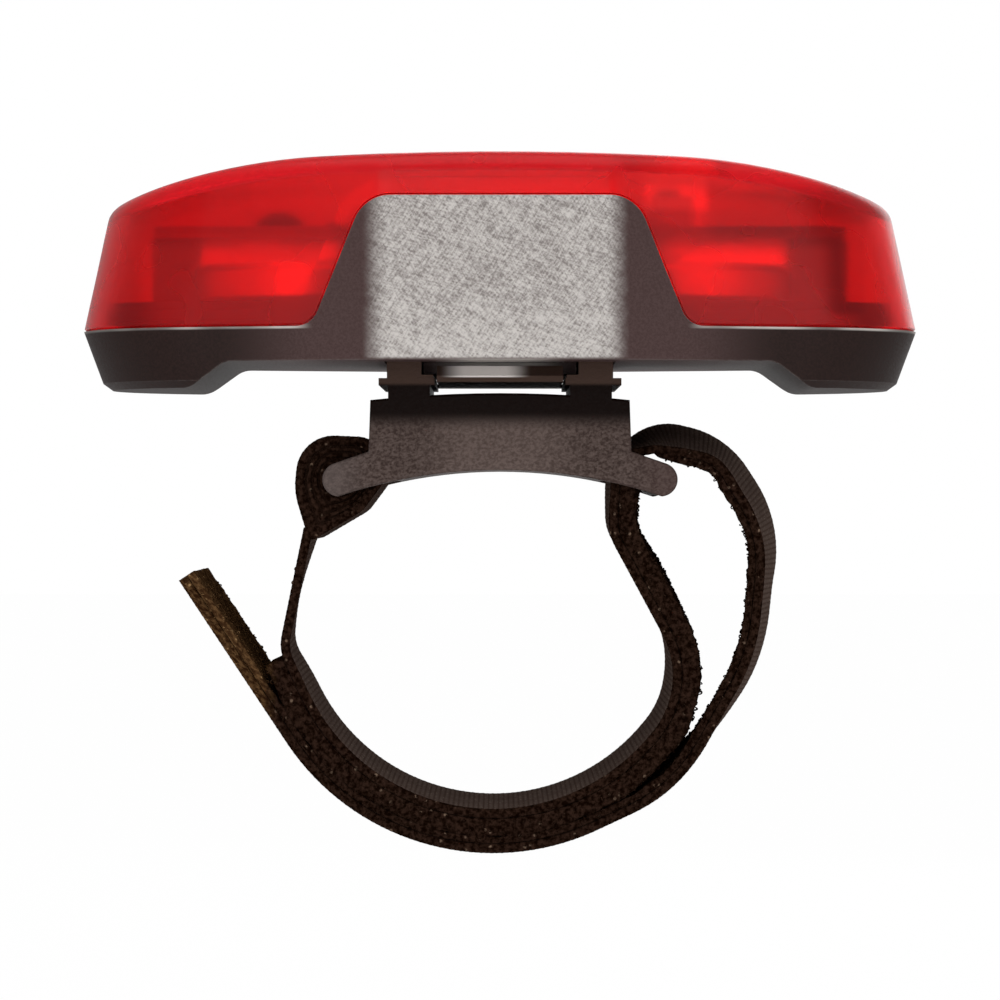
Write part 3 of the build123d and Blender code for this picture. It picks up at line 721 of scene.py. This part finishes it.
@dataclass(frozen=True)
class FabricFinish:
    """Dyed polyamide yarn with stray pale fibres, faded brown at the free tail."""

    yarn: Yarn
    dark: Colour
    pale: Colour
    stray: Colour
    along: float
    across: float
    share: float
    edge_y: float = 9.85
    edge_dark: Colour = tone(14, 5, 2)
    edge_pale: Colour = tone(46, 31, 24)
    edge_stray: Colour = tone(112, 93, 78)
    tail_x: float = -18.6
    tail_dark: Colour = tone(40, 22, 10)
    tail_pale: Colour = tone(88, 64, 40)
    tail_stray: Colour = tone(158, 126, 88)
    streak: Triple = (1.7, 3.2, 4.2)
    streak_turn: float = 40.0

    def material(self) -> bpy.types.Material:
        """The finished material."""
        shader = Shader(self.yarn.value, IOR=1.5, Specular_IOR_Level=0.0)
        x, y, _ = shader.parts()
        threads = shader.effect("yarns", shader.uv, Along=self.along, Across=self.across)
        specks = shader.effect("specks", Size=0.22, Share=self.share)["Mask"]
        cloud = shader.effect("grain", Size=0.5)
        level = shader.times(threads["Height"], shader.ramp(threads["Tone"], 0.3, 0.75, 0.35, 1.0))
        fuzz = shader.cloud(2.4, 3.0, 0.65)
        fibre = shader.ramp(fuzz, 0.36, 0.66)
        sparks = shader.effect("specks", Size=0.42, Share=0.09)["Mask"]
        edge = shader.ramp(shader.off(y), self.edge_y - 0.2, self.edge_y)
        bits = shader.times(sparks, shader.ramp(fuzz, 0.4, 0.6))
        cut = shader.coats(self.edge_dark, (fibre, self.edge_pale), (bits, self.edge_stray))
        streaks = shader.noise(shader.scaled(shader.place, self.streak, self.streak_turn), 1.0, 3.0, 0.6)
        spots = shader.effect("specks", Size=0.36, Share=0.32)["Mask"]
        bits = shader.times(spots, shader.ramp(streaks, 0.45, 0.6))
        worn = shader.ramp(streaks, 0.38, 0.68)
        colour = shader.coats(
            self.dark,
            (level, self.pale),
            (shader.times(cloud["Tone"], 0.35), self.dark),
            (specks, self.stray),
            (edge, cut),
            (
                shader.fall(x, self.tail_x - 2.0, self.tail_x),
                shader.coats(self.tail_dark, (worn, self.tail_pale), (bits, self.tail_stray)),
            ),
        )
        rough = shader.ramp(threads["Tone"], 0.3, 0.7, 0.6, 0.85)
        fuzzy = shader.math("MULTIPLY_ADD", fuzz, edge, cloud["Height"])
        height = shader.math("MULTIPLY_ADD", shader.mix(edge, level, fibre), 0.6, fuzzy)
        shader.paint(colour, rough, height, 0.06)
        return shader.material


@dataclass(frozen=True)
class Corner:
    """A corner of a strap's route, in millimetres, and the radius of its bend."""

    x: float
    z: float
    bend: float = 0.0


@dataclass(frozen=True)
class Lean:
    """Round a place, how far the strap's far and near edges stand off its route, in millimetres."""

    x: float
    z: float
    reach: float
    far: float
    near: float
    outer: bool


@dataclass(frozen=True)
class Stations:
    """Evenly spaced places along a route, with the run up to each and its outward direction."""

    run: np.ndarray
    place: np.ndarray
    out: np.ndarray


@dataclass(frozen=True)
class Route:
    """Rounded line in X and Z. A layer lies on the right of its travel."""

    corners: tuple[Corner, ...]
    closed: bool = False
    fine: float = 0.05

    def stations(self, count: int) -> Stations:
        """Evenly spaced stations.

        Args:
            count: How many.

        Returns:
            Their runs, places and outward directions.
        """
        places, turns = self.traced()
        steps = np.linalg.norm(np.diff(places, axis=0), axis=1)
        run = np.concatenate([[0.0], np.cumsum(steps)])
        even = np.linspace(0.0, run[-1], count)
        place = np.column_stack([np.interp(even, run, places[:, axis]) for axis in (0, 1)])
        heading = np.interp(even, run, np.unwrap(turns))
        return Stations(even, place, np.column_stack([np.sin(heading), -np.cos(heading)]))

    def length(self) -> float:
        """Length in millimetres."""
        places = self.traced()[0]
        return float(np.linalg.norm(np.diff(places, axis=0), axis=1).sum())

    def traced(self) -> tuple[np.ndarray, np.ndarray]:
        """Finely spaced places and headings along the line."""
        points = [np.array([corner.x, corner.z]) for corner in self.corners]
        bends = [corner.bend for corner in self.corners]
        if self.closed:
            middle = (points[0] + points[-1]) / 2
            points = [middle, *points, middle]
            bends = [0.0, *bends, 0.0]
        places, turns = [], []
        start = points[0]
        for index in range(1, len(points)):
            way, heading = self.direction(points[index - 1], points[index])
            if index == len(points) - 1:
                self.run_straight(start, points[index], heading, places, turns)
                break
            leave, _ = self.direction(points[index], points[index + 1])
            angle = math.atan2(way[0] * leave[1] - way[1] * leave[0], float(way @ leave))
            cut, side = bends[index] * math.tan(abs(angle) / 2), 1.0 if angle > 0 else -1.0
            begin = points[index] - way * cut
            self.run_straight(start, begin, heading, places, turns)
            reach = side * bends[index]
            centre = begin + reach * np.array([-way[1], way[0]])
            pieces = max(int(abs(angle) * bends[index] / self.fine), 2)
            for share in np.linspace(0, 1, pieces + 1)[1:]:
                turned = heading + angle * share
                places.append(centre + reach * np.array([math.sin(turned), -math.cos(turned)]))
                turns.append(turned)
            start = points[index] + leave * cut
        return np.array(places), np.array(turns)

    def direction(self, start: np.ndarray, end: np.ndarray) -> tuple[np.ndarray, float]:
        """Unit vector from one point to another, and its heading in radians."""
        way = (end - start) / np.linalg.norm(end - start)
        return way, math.atan2(way[1], way[0])

    def run_straight(
        self, start: np.ndarray, end: np.ndarray, heading: float, places: list, turns: list
    ) -> None:
        """Append a straight run.

        Args:
            start: Where it starts.
            end: Where it ends.
            heading: Its direction, in radians.
            places: List that its places go into.
            turns: List that its headings go into.
        """
        pieces = max(int(np.linalg.norm(end - start) / self.fine), 1)
        for share in np.linspace(0, 1, pieces + 1):
            places.append(start + (end - start) * share)
            turns.append(heading)


@dataclass
class Layer:
    """One layer of the strap: a band rolled round its section, its seam merged and its ends closed."""

    name: str
    route: Route
    near: float
    far: float
    width: float = 20.0
    step: float = 0.16
    columns: int = 34
    round: float = 0.18
    merge: float = 0.02

    def section(self) -> tuple[np.ndarray, np.ndarray]:
        """Section's points and outward directions, across the width and away from the route."""
        half, middle = self.width / 2, (self.near + self.far) / 2
        thick = (self.far - self.near) / 2
        flat = np.linspace(-half + self.round, half - self.round, self.columns)
        points = [(y, self.near, 0.0, -1.0) for y in flat]
        points += self.edge_points(half, middle, thick, 1.0)
        points += [(y, self.far, 0.0, 1.0) for y in flat[::-1]]
        points += self.edge_points(-half, middle, thick, -1.0)
        points.append(points[0])
        table = np.array(points)
        return table[:, :2], table[:, 2:]

    def edge_points(self, edge: float, middle: float, thick: float, side: float) -> list:
        """Points round one edge of the section.

        Args:
            edge: The edge's place across the width.
            middle: Middle of the layer's thickness.
            thick: Half of its thickness.
            side: 1 at the high edge and -1 at the low one.

        Returns:
            Rows of place and direction.
        """
        rows = []
        for angle in (-54, -18, 18, 54):
            lean = math.radians(angle)
            y = edge - side * self.round * (1 - math.cos(lean))
            across, up = side * math.cos(lean), side * math.sin(lean)
            rows.append((y, middle + thick * up, across, up))
        return rows

    def stations(self, count: int) -> Stations:
        """Stations along the layer."""
        return self.route.stations(count)

    def relief(self, run: np.ndarray, y: np.ndarray, lean: np.ndarray) -> np.ndarray:
        """Height of each point over the plain band, in millimetres."""
        return np.zeros_like(run)

    def flare(self, run: np.ndarray, y: np.ndarray, place: np.ndarray) -> np.ndarray:
        """How far the band stands off its route, in millimetres."""
        return np.zeros_like(run)

    def build(self) -> bpy.types.Object:
        """The layer's object, made from a grid that is rolled up row by row."""
        rows = max(int(self.route.length() / self.step), 8)
        stations = self.stations(rows)
        points, leans = self.section()
        ring = len(points)
        grid = {"x_subdivisions": rows - 1, "y_subdivisions": ring - 1, "size": 2}
        band = made(bpy.ops.mesh.primitive_grid_add, **grid)
        band.name = band.data.name = self.name
        flat = np.empty(len(band.data.vertices) * 3)
        band.data.vertices.foreach_get("co", flat)
        flat = (flat.reshape(-1, 3) + 1) / 2
        row = np.rint(flat[:, 0] * (rows - 1)).astype(int)
        column = np.rint(flat[:, 1] * (ring - 1)).astype(int)
        run, y, lean = stations.run[row], points[column, 0], leans[column]
        lift = self.relief(run, y, lean)
        off = points[column, 1] + lean[:, 1] * lift + self.flare(run, y, stations.place[row])
        x, z = (stations.place[row] + stations.out[row] * off[:, None]).T
        places = np.column_stack([x, y + lean[:, 0] * lift, z]) * MM
        band.data.vertices.foreach_set("co", places.ravel())
        band.data.update()
        self.close()
        return band

    def close(self) -> None:
        """Merge the open mesh's seam and close its ends."""
        edit()
        bpy.ops.mesh.remove_doubles(threshold=1e-6)
        if self.route.closed:
            bpy.ops.mesh.remove_doubles(threshold=self.merge * MM)
        else:
            bpy.ops.mesh.select_all(action="DESELECT")
            bpy.ops.mesh.select_non_manifold()
            bpy.ops.mesh.fill_holes(sides=0)
        bpy.ops.mesh.select_all(action="SELECT")
        bpy.ops.mesh.normals_make_consistent(inside=False)
        bpy.ops.object.mode_set(mode="OBJECT")
        bpy.ops.object.shade_smooth()


@dataclass
class Plies(Layer):
    """Folded end packed round a bar, from its bore out to the outline; near and far are shares of the way."""

    centre: tuple[float, float] = (-13.5, -0.8)
    bore: float = 1.3
    folds: int = 4
    rise: float = 0.22

    def stations(self, count: int) -> Stations:
        """Stations whose outward directions span from the bore to the outline."""
        stations = self.route.stations(count)
        spokes = stations.place - np.array(self.centre)
        share = 1.0 - self.bore / np.linalg.norm(spokes, axis=1, keepdims=True)
        return Stations(stations.run, stations.place, spokes * share)

    def edge_points(self, edge: float, middle: float, thick: float, side: float) -> list:
        """Flat end with a rounded ridge for each fold."""
        rows = []
        for share in np.linspace(-1, 1, 8 * self.folds + 1)[1:-1]:
            ridge = abs(math.sin(math.pi * self.folds * (share + 1) / 2))
            rows.append((edge + side * self.rise * (ridge - 1), middle + side * share * thick, side, 0.0))
        return rows


@dataclass
class Webbing(Layer):
    """Woven base with ribs across its width."""

    rib: float = 0.44
    yarn: float = 0.9
    rise: float = 0.03
    leans: tuple[Lean, ...] = ()
    outer_run: float = math.inf

    def relief(self, run: np.ndarray, y: np.ndarray, lean: np.ndarray) -> np.ndarray:
        """Ribs, each broken into yarns that step from row to row.

        Args:
            run: Run along the route of each point.
            y: Place across the width of each point.
            lean: Outward direction of each point.

        Returns:
            The heights.
        """
        row = np.floor(run / self.rib)
        ridge = np.sin(np.pi * run / self.rib) ** 2
        yarn = 0.75 + 0.25 * np.cos(2 * np.pi * y / self.yarn + np.pi * row)
        edge = np.where(np.abs(lean[:, 0]) > 0.3, 0.35, 1.0)
        return self.rise * (ridge * yarn * edge - 0.4)

    def flare(self, run: np.ndarray, y: np.ndarray, place: np.ndarray) -> np.ndarray:
        """How far each lean draws the strap's edges away from its route.

        Args:
            run: Run along the route of each point.
            y: Place across the width of each point.
            place: Place on the route of each point.

        Returns:
            The distances.
        """
        share = y / self.width + 0.5
        total = np.zeros_like(run)
        for lean in self.leans:
            near = np.clip(1.0 - np.hypot(place[:, 0] - lean.x, place[:, 1] - lean.z) / lean.reach, 0, 1)
            weight = near * near * (3 - 2 * near) * ((run >= self.outer_run) == lean.outer)
            total += weight * (lean.far * share + lean.near * (1 - share))
        return total


@dataclass
class Pile(Webbing):
    """Soft pile, uneven all over."""

    rise: float = 0.3
    step: float = 0.3
    columns: int = 56
    coarse: float = 1.7
    fine: float = 0.6

    def relief(self, run: np.ndarray, y: np.ndarray, lean: np.ndarray) -> np.ndarray:
        """Tufts in two sizes, none on the face that is stuck down."""
        up = np.clip(lean[:, 1] + 0.75, 0, 1)
        heights = np.empty_like(run)
        for index, (along, across, side) in enumerate(zip(run, y, lean[:, 0])):
            coarse = noise.noise(Vector((along / self.coarse, across / self.coarse, side)))
            fine = noise.noise(Vector((along / self.fine, across / self.fine, 7 + side)))
            heights[index] = 0.25 + 0.7 * coarse + 0.5 * fine
        return self.rise * heights * up


@dataclass
class Tufts:
    """Many copies of one small loop or hook, standing on a layer."""

    name: str
    layer: Webbing
    pitch: float
    height: float
    wire: float
    closed_loop: bool
    seed: int
    ring: float = 0.45
    sunk: float = 0.08
    jitter: float = 0.3
    tilt: float = 0.45
    drift: float = 0.4
    sizes: tuple[float, float] = (0.75, 1.2)

    def shape(self) -> tuple[np.ndarray, list]:
        """Vertices and faces of one loop or hook, standing up along Z, in millimetres."""
        counts = {"major_segments": 10, "minor_segments": 4}
        sizes = {"major_radius": self.height * self.ring, "minor_radius": self.wire}
        upright = (math.pi / 2, 0, 0)
        loop = made(bpy.ops.mesh.primitive_torus_add, rotation=upright, **counts, **sizes)
        bpy.ops.object.transform_apply(location=False, rotation=True, scale=False)
        edit()
        low = -0.2 * self.height if self.closed_loop else 0.0
        normal = (0.0, 0.0, 1.0) if self.closed_loop else (0.5, 0.0, 0.86)
        bpy.ops.mesh.bisect(plane_co=(0, 0, low), plane_no=normal, clear_inner=True, use_fill=True)
        bpy.ops.object.mode_set(mode="OBJECT")
        points = np.array([vertex.co for vertex in loop.data.vertices])
        points[:, 2] -= points[:, 2].min()
        points[:, 2] *= self.height / points[:, 2].max()
        faces = [list(face.vertices) for face in loop.data.polygons]
        bpy.data.objects.remove(loop)
        return points, faces

    def copy(
        self, points: np.ndarray, stations: Stations, row: int, y: float, draw: np.random.Generator
    ) -> np.ndarray:
        """Points of one copy, thrown a little about.

        Args:
            points: Points of the shape.
            stations: Stations along the layer.
            row: Station that it stands at.
            y: Its place across the width.
            draw: Source of the random draws.

        Returns:
            The points, in millimetres.
        """
        layer = self.layer
        edge = abs(y) >= layer.width / 2
        out_x, out_z = stations.out[row]
        way, out = np.array([-out_z, 0, out_x]), np.array([out_x, 0, out_z])
        y_place = y if edge else y + draw.uniform(-self.jitter, self.jitter) * self.pitch
        here = slice(row, row + 1)
        stand = layer.flare(stations.run[here], np.array([y_place]), stations.place[here])[0]
        depth = draw.uniform(layer.near, layer.far) if edge else layer.far - self.sunk
        up = np.array([0, math.copysign(1, y), 0]) if edge else out
        lean, roll = draw.uniform(-self.tilt, self.tilt), draw.uniform(-self.tilt, self.tilt)
        up = up + lean * way + roll * np.cross(up, way)
        up = up / np.linalg.norm(up)
        side = np.cross(up, way + 0.01)
        side = side / np.linalg.norm(side)
        front = np.cross(side, up)
        spin = draw.uniform(0, math.pi)
        first = math.cos(spin) * side + math.sin(spin) * front
        second = math.cos(spin) * front - math.sin(spin) * side
        base = np.array([stations.place[row, 0], y_place, stations.place[row, 1]]) + out * (depth + stand)
        base = base + way * draw.uniform(-self.drift, self.drift) * self.pitch
        return base + draw.uniform(*self.sizes) * (points @ np.array([first, second, up]))

    def build(self) -> bpy.types.Object:
        """One object of all copies, over the layer's face and along its two edges."""
        points, faces = self.shape()
        draw = np.random.default_rng(self.seed)
        rows = int(self.layer.route.length() / self.pitch)
        stations = self.layer.route.stations(rows)
        half = self.layer.width / 2
        across = np.arange(-half + self.pitch / 2, half, self.pitch)
        copies, polygons = [], []
        for row in range(1, rows - 2):
            for y in (*across, -half, half):
                start = len(copies) * len(points)
                copies.append(self.copy(points, stations, row, y, draw))
                polygons.extend([[index + start for index in face] for face in faces])
        mesh = bpy.data.meshes.new(self.name)
        mesh.from_pydata((np.concatenate(copies) * MM).tolist(), [], polygons)
        mesh.validate()
        tufts = bpy.data.objects.new(self.name, mesh)
        bpy.context.scene.collection.objects.link(tufts)
        deselect()
        tufts.select_set(True)
        bpy.context.view_layer.objects.active = tufts
        bpy.ops.object.shade_smooth()
        return tufts


@dataclass
class Stitching:
    """Two rows of stitches on the thin leg, under the sewn loop. Each bows down to its two ends."""

    start: tuple[float, float] = (-16.0, -6.0)
    way: tuple[float, float] = (-1.862, -9.08)
    off: float = 0.82
    rows: int = 2
    first_row: float = 2.6
    row_pitch: float = 1.2
    per_row: int = 7
    pitch: float = 2.4
    radius: float = 0.19
    stretch: float = 4.3
    half: float = 0.82
    bow: float = 0.22

    def build(self) -> bpy.types.Object:
        """All stitches as one object."""
        way = np.array(self.way) / math.hypot(*self.way)
        out = np.array([way[1], -way[0]])
        stitches = []
        for row in range(self.rows):
            x, z = np.array(self.start) + way * (self.first_row + self.row_pitch * row) + out * self.off
            for index in range(self.per_row):
                stitches.append(self.stitch((x, (index - self.per_row // 2) * self.pitch, z), out))
        deselect()
        for stitch in stitches:
            stitch.select_set(True)
        bpy.context.view_layer.objects.active = stitches[0]
        bpy.ops.object.join()
        thread = bpy.context.object
        thread.name = thread.data.name = "strap_thread"
        bpy.ops.object.shade_smooth()
        return thread

    def stitch(self, place: Triple, out: np.ndarray) -> bpy.types.Object:
        """One stitch along the strap's width.

        Args:
            place: Its middle, in millimetres.
            out: Outward direction in X and Z.

        Returns:
            The stitch.
        """
        counts = {"segments": 12, "ring_count": 8}
        stitch = made(bpy.ops.mesh.primitive_uv_sphere_add, radius=self.radius * MM, **counts)
        edit()
        bpy.ops.transform.resize(value=(1.0, self.stretch, 1.0))
        bpy.ops.object.mode_set(mode="OBJECT")
        for vertex in stitch.data.vertices:
            sunk = (vertex.co.y / (self.half * MM)) ** 2 * self.bow
            vertex.co += Vector((place[0] - out[0] * sunk, place[1], place[2] - out[1] * sunk)) * MM
        return stitch


@dataclass
class Strap:
    """Hook and loop strap in the closed shape, riding on the bracket.

    The inner layer is the thin leg, the ring and the right leg up into the slot. The outer one goes over the
    bar, down the side, round the closure and out to the free tail.
    """

    inner: tuple[Corner, ...] = (
        Corner(-15.795, -5.0), Corner(-17.862, -15.08, 3.0), Corner(-12.2006, -27.2212, 17.12),
        Corner(6.5105, -29.6845, 17.12), Corner(16.079, -18.281, 7.4), Corner(9.1, -5.35, 5.0),
    )
    slot: Corner = Corner(9.5, 1.6, 2.6)
    bar: Corner = Corner(13.95, 4.27, 4.5)
    outer: tuple[Corner, ...] = (
        Corner(19.53, 2.24, 8.0), Corner(23.78, -4.83, 11.0), Corner(22.44, -15.76, 17.0),
        Corner(15.477, -27.019, 16.5), Corner(1.2115, -33.6711, 20.87),
        Corner(-13.7496, -29.4657, 20.87), Corner(-27.1253, -9.3336),
    )
    sewn: tuple[Corner, ...] = (
        Corner(-16.1, -6.1, 0.5), Corner(-11.6, -3.45, 2.5), Corner(-9.7, -0.9, 2.0),
        Corner(-9.7, 2.75, 2.4), Corner(-16.9, 3.05, 3.2), Corner(-17.4, -1.8, 6.0),
    )
    pile_ends: tuple[Corner, Corner] = (Corner(-17.65, -15.53), Corner(9.43, 0.6))
    hook_start: Corner = Corner(14.2, 4.27)
    leans: tuple[Lean, ...] = (
        Lean(-17.6, -11.0, 8.5, 0.75, 0.0, False),
        Lean(13.0, -9.5, 9.5, 0.8, 0.0, False),
        Lean(14.0, 4.2, 6.5, 0.0, 1.3, True),
        Lean(19.5, 0.5, 11.5, -1.0, 1.2, True),
        Lean(23.3, -9.0, 12.5, -1.1, 0.9, True),
        Lean(19.5, -19.5, 11.0, -1.2, 0.5, True),
    )
    thickness: float = 0.8
    pile_top: float = 2.3
    hook_top: float = 1.4

    def finishes(self) -> dict[Yarn, bpy.types.Material]:
        """Material of every fabric."""
        kinds = (
            FabricFinish(Yarn.WEAVE, tone(66, 53, 47), tone(98, 85, 79), tone(132, 119, 108), 400, 60, 0.1),
            FabricFinish(Yarn.PILE, tone(20, 10, 6), tone(46, 32, 25), tone(84, 68, 56), 120, 80, 0.06),
            FabricFinish(
                Yarn.HOOKS, tone(16, 8, 4), tone(42, 28, 20), tone(96, 74, 54), 150, 80, 0.06,
                tail_dark=tone(54, 34, 19), tail_pale=tone(98, 72, 46),
            ),
        )
        return {kind.yarn: kind.material() for kind in kinds}

    def layers(self) -> tuple[tuple[Layer | Tufts | Stitching, Yarn, tuple[str, ...]], ...]:
        """Every piece, its fabric and the CAD nodes that it stands for."""
        near, leans = self.thickness + 0.02, self.leans
        whole = Route((*self.inner, self.slot, self.bar, *self.outer))
        over = Route((*self.inner, self.slot)).length()
        webbing = Webbing("strap_webbing_woven", whole, 0.0, self.thickness, leans=leans, outer_run=over)
        sewn = Route(self.sewn, closed=True)
        start, end = self.pile_ends
        soft_route = Route((start, *self.inner[2:], end))
        soft = Pile("strap_pile", soft_route, near, self.pile_top, leans=leans)
        hook_route = Route((self.hook_start, *self.outer))
        hook = Pile("strap_hook_field", hook_route, near, self.hook_top, rise=0.2, leans=leans, outer_run=0.0)
        loops = Tufts("strap_pile_loops", soft, pitch=0.8, height=0.36, wire=0.05, closed_loop=True, seed=11)
        hooks = Tufts("strap_hooks", hook, pitch=0.9, height=0.28, wire=0.05, closed_loop=False, seed=23)
        return (
            (webbing, Yarn.WEAVE, ("strap_webbing",)),
            (Webbing("strap_loop_woven", sewn, -self.thickness, 0.0), Yarn.WEAVE, ()),
            (Plies("strap_loop_plies", sewn, near=-1.0, far=-0.15, width=19.8), Yarn.PILE, ()),
            (soft, Yarn.PILE, ("strap_loop_tape",)),
            (hook, Yarn.HOOKS, ("strap_hook_tape",)),
            (loops, Yarn.PILE, ()),
            (hooks, Yarn.HOOKS, ()),
            (Stitching(), Yarn.WEAVE, ("strap_stitching",)),
        )

    def build(self) -> None:
        """Build every piece, dress it and put it on the bracket."""
        finishes = self.finishes()
        for piece, yarn, nodes in self.layers():
            shown = piece.build()
            shown.data.materials.append(finishes[yarn])
            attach(shown, "bracket")
            if nodes:
                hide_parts(*nodes)
            LOG.info("%s: %d vertices", shown.name, len(shown.data.vertices))


class Hardware:
    """Rigid CAD nodes and the finish of each."""

    def kinds(self) -> tuple[tuple, ...]:
        """Every rigid finish and the nodes that wear it."""
        # Painted light: the button is tinted pale pink so that it reads bright, as if lit through.
        red = (1.0, 0.6, 0.58, 1.0)
        rubber = {"clear": 0.94, "rough": 0.12, "index": 1.05, "crown_z": 26.4}
        button = LensFinish("button_rubber", red=red, deep=red, shade=red, **rubber)
        seal = Moulded("seal_rubber", tone(30, 28, 28), tone(60, 56, 55), 0.6, 0.2)
        tray = Moulded("tray_plastic", tone(52, 47, 46), tone(96, 90, 88), 0.5)
        white = Moulded("switch_white", tone(232, 230, 224), tone(250, 249, 246), 0.4)
        plunger = Moulded("plunger_plastic", tone(66, 62, 60), tone(110, 105, 100), 0.4)
        chip = Moulded("chip_resin", tone(20, 19, 20), tone(54, 52, 52), 0.35, 0.18, 0.01)
        lamp = Moulded("lamp_resin", tone(236, 214, 150), tone(250, 240, 205), 0.25)
        chrome = MetalFinish("reflector_chrome", tone(226, 226, 228), tone(200, 200, 205), 0.16, (1.5,) * 3)
        steel = MetalFinish("cell_steel", tone(250, 249, 246), tone(236, 233, 228), 0.42, (1.2,) * 3)
        contact = MetalFinish("contact_metal", tone(214, 202, 170), tone(186, 170, 132), 0.25)
        screw = MetalFinish("screw_steel", tone(176, 176, 178), tone(132, 130, 128), 0.3, (2.0,) * 3)
        return (
            (button, "power_button"),
            (seal, "lens_seal"),
            (tray, "battery_tray"),
            (white, "tactile_switch"),
            (plunger, "switch_plunger"),
            (chip, "controller_dome", "chip_resistors"),
            (lamp, "led_left", "led_centre", "led_right"),
            (chrome, "led_reflector"),
            (steel, "battery_left", "battery_right"),
            (contact, "battery_bridge_plate", "battery_clip_left", "battery_clip_right"),
            (screw, "tray_screws"),
            (HousingFinish(), "rear_housing"),
            (SaddleFinish(), "bracket_saddle", "latch_tongue"),
            (LensFinish(), "lens"),
            (BoardFinish(), "circuit_board"),
        )

    def dress(self) -> None:
        """Give every rigid node its finish."""
        for kind, *nodes in self.kinds():
            material = kind.material()
            for node in nodes:
                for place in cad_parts[node].material_slots:
                    place.material = material
                LOG.info("%s: %s", node, kind.name)


@dataclass
class Studio:
    """Pale floor, white world, soft plain lamps, and the photograph's camera."""

    floor_z: float = -75.0
    eye: Triple = (0.0, -380.0, -2.52)
    frame_width: float = 86.7
    sensor: float = 36.0
    floor_white: float = 0.985
    world_level: float = 0.5
    lamps: tuple[tuple[str, Triple, float, float], ...] = (
        ("lamp_top", (0, -120, 420), 420, 0.85),
        ("lamp_front", (-120, -460, 90), 320, 0.6),
        ("lamp_front_right", (260, -380, 30), 260, 0.25),
        ("lamp_back", (150, 420, 160), 380, 0.5),
    )

    def build(self) -> None:
        """Set up the whole stage."""
        scene = bpy.context.scene
        scene.view_settings.view_transform = "Standard"
        self.floor()
        self.sky()
        for lamp in self.lamps:
            self.lamp(*lamp)
        eye = [value * MM for value in self.eye]
        camera = made(bpy.ops.object.camera_add, location=eye, rotation=(math.pi / 2, 0, 0))
        camera.data.sensor_width = self.sensor
        camera.data.lens = self.sensor * -self.eye[1] / self.frame_width
        camera.data.clip_start = 0.01
        scene.camera = camera

    def lamp(self, name: str, place: Triple, size: float, power: float) -> None:
        """Add an area lamp that faces the light.

        Args:
            name: Lamp name.
            place: Its place in millimetres.
            size: Its side in millimetres.
            power: Its power in watts.
        """
        lamp = made(bpy.ops.object.light_add, type="AREA", location=[value * MM for value in place])
        lamp.name = name
        lamp.data.size = size * MM
        lamp.data.energy = power
        lamp.rotation_euler = (-Vector(place)).to_track_quat("-Z", "Y").to_euler()

    def floor(self) -> None:
        """Flat floor, white to the camera but for a trace of its shading."""
        ground = made(bpy.ops.mesh.primitive_plane_add, size=6.0, location=(0, 0, self.floor_z * MM))
        ground.name = "floor"
        shader = Shader("floor_pale", Roughness=0.9)
        cloud = shader.noise(shader.place, 3.0)
        shader.paint(shader.mix(cloud, tone(247, 247, 247), tone(252, 252, 252)))
        seen = shader.add("LightPath")
        bright = shader.add("Emission", Color=(1, 1, 1, 1), Strength=1.0)
        share = shader.times(seen.outputs["Is Camera Ray"], self.floor_white)
        mixed = shader.add("MixShader")
        shader.feed_all(mixed, share, shader.surface.outputs[0], bright.outputs[0])
        output = shader.tree.nodes["Material Output"]
        shader.feed(output.inputs["Surface"], mixed.outputs[0])
        ground.data.materials.append(shader.material)

    def sky(self) -> None:
        """White world for the camera and for rays through glass, a plain level for everything else."""
        world = bpy.data.worlds.new("studio")
        bpy.context.scene.world = world
        world.use_nodes = True
        weaver = Weaver(world.node_tree)
        path = weaver.add("LightPath")
        seen = weaver.math("MAXIMUM", path.outputs["Is Camera Ray"], path.outputs["Is Transmission Ray"])
        background = world.node_tree.nodes["Background"]
        background.inputs["Color"].default_value = (1, 1, 1, 1)
        strength = weaver.math("MULTIPLY_ADD", seen, 1.0 - self.world_level, self.world_level)
        weaver.feed(background.inputs["Strength"], strength)


def main() -> None:
    """Build the stage, dress the rigid nodes and make the strap."""
    logging.basicConfig(level=logging.INFO, format="%(message)s")
    Studio().build()
    LOG.info("studio ready")
    Hardware().dress()
    Strap().build()
    LOG.info("strap ready")


if __name__ == "__main__":
    main()
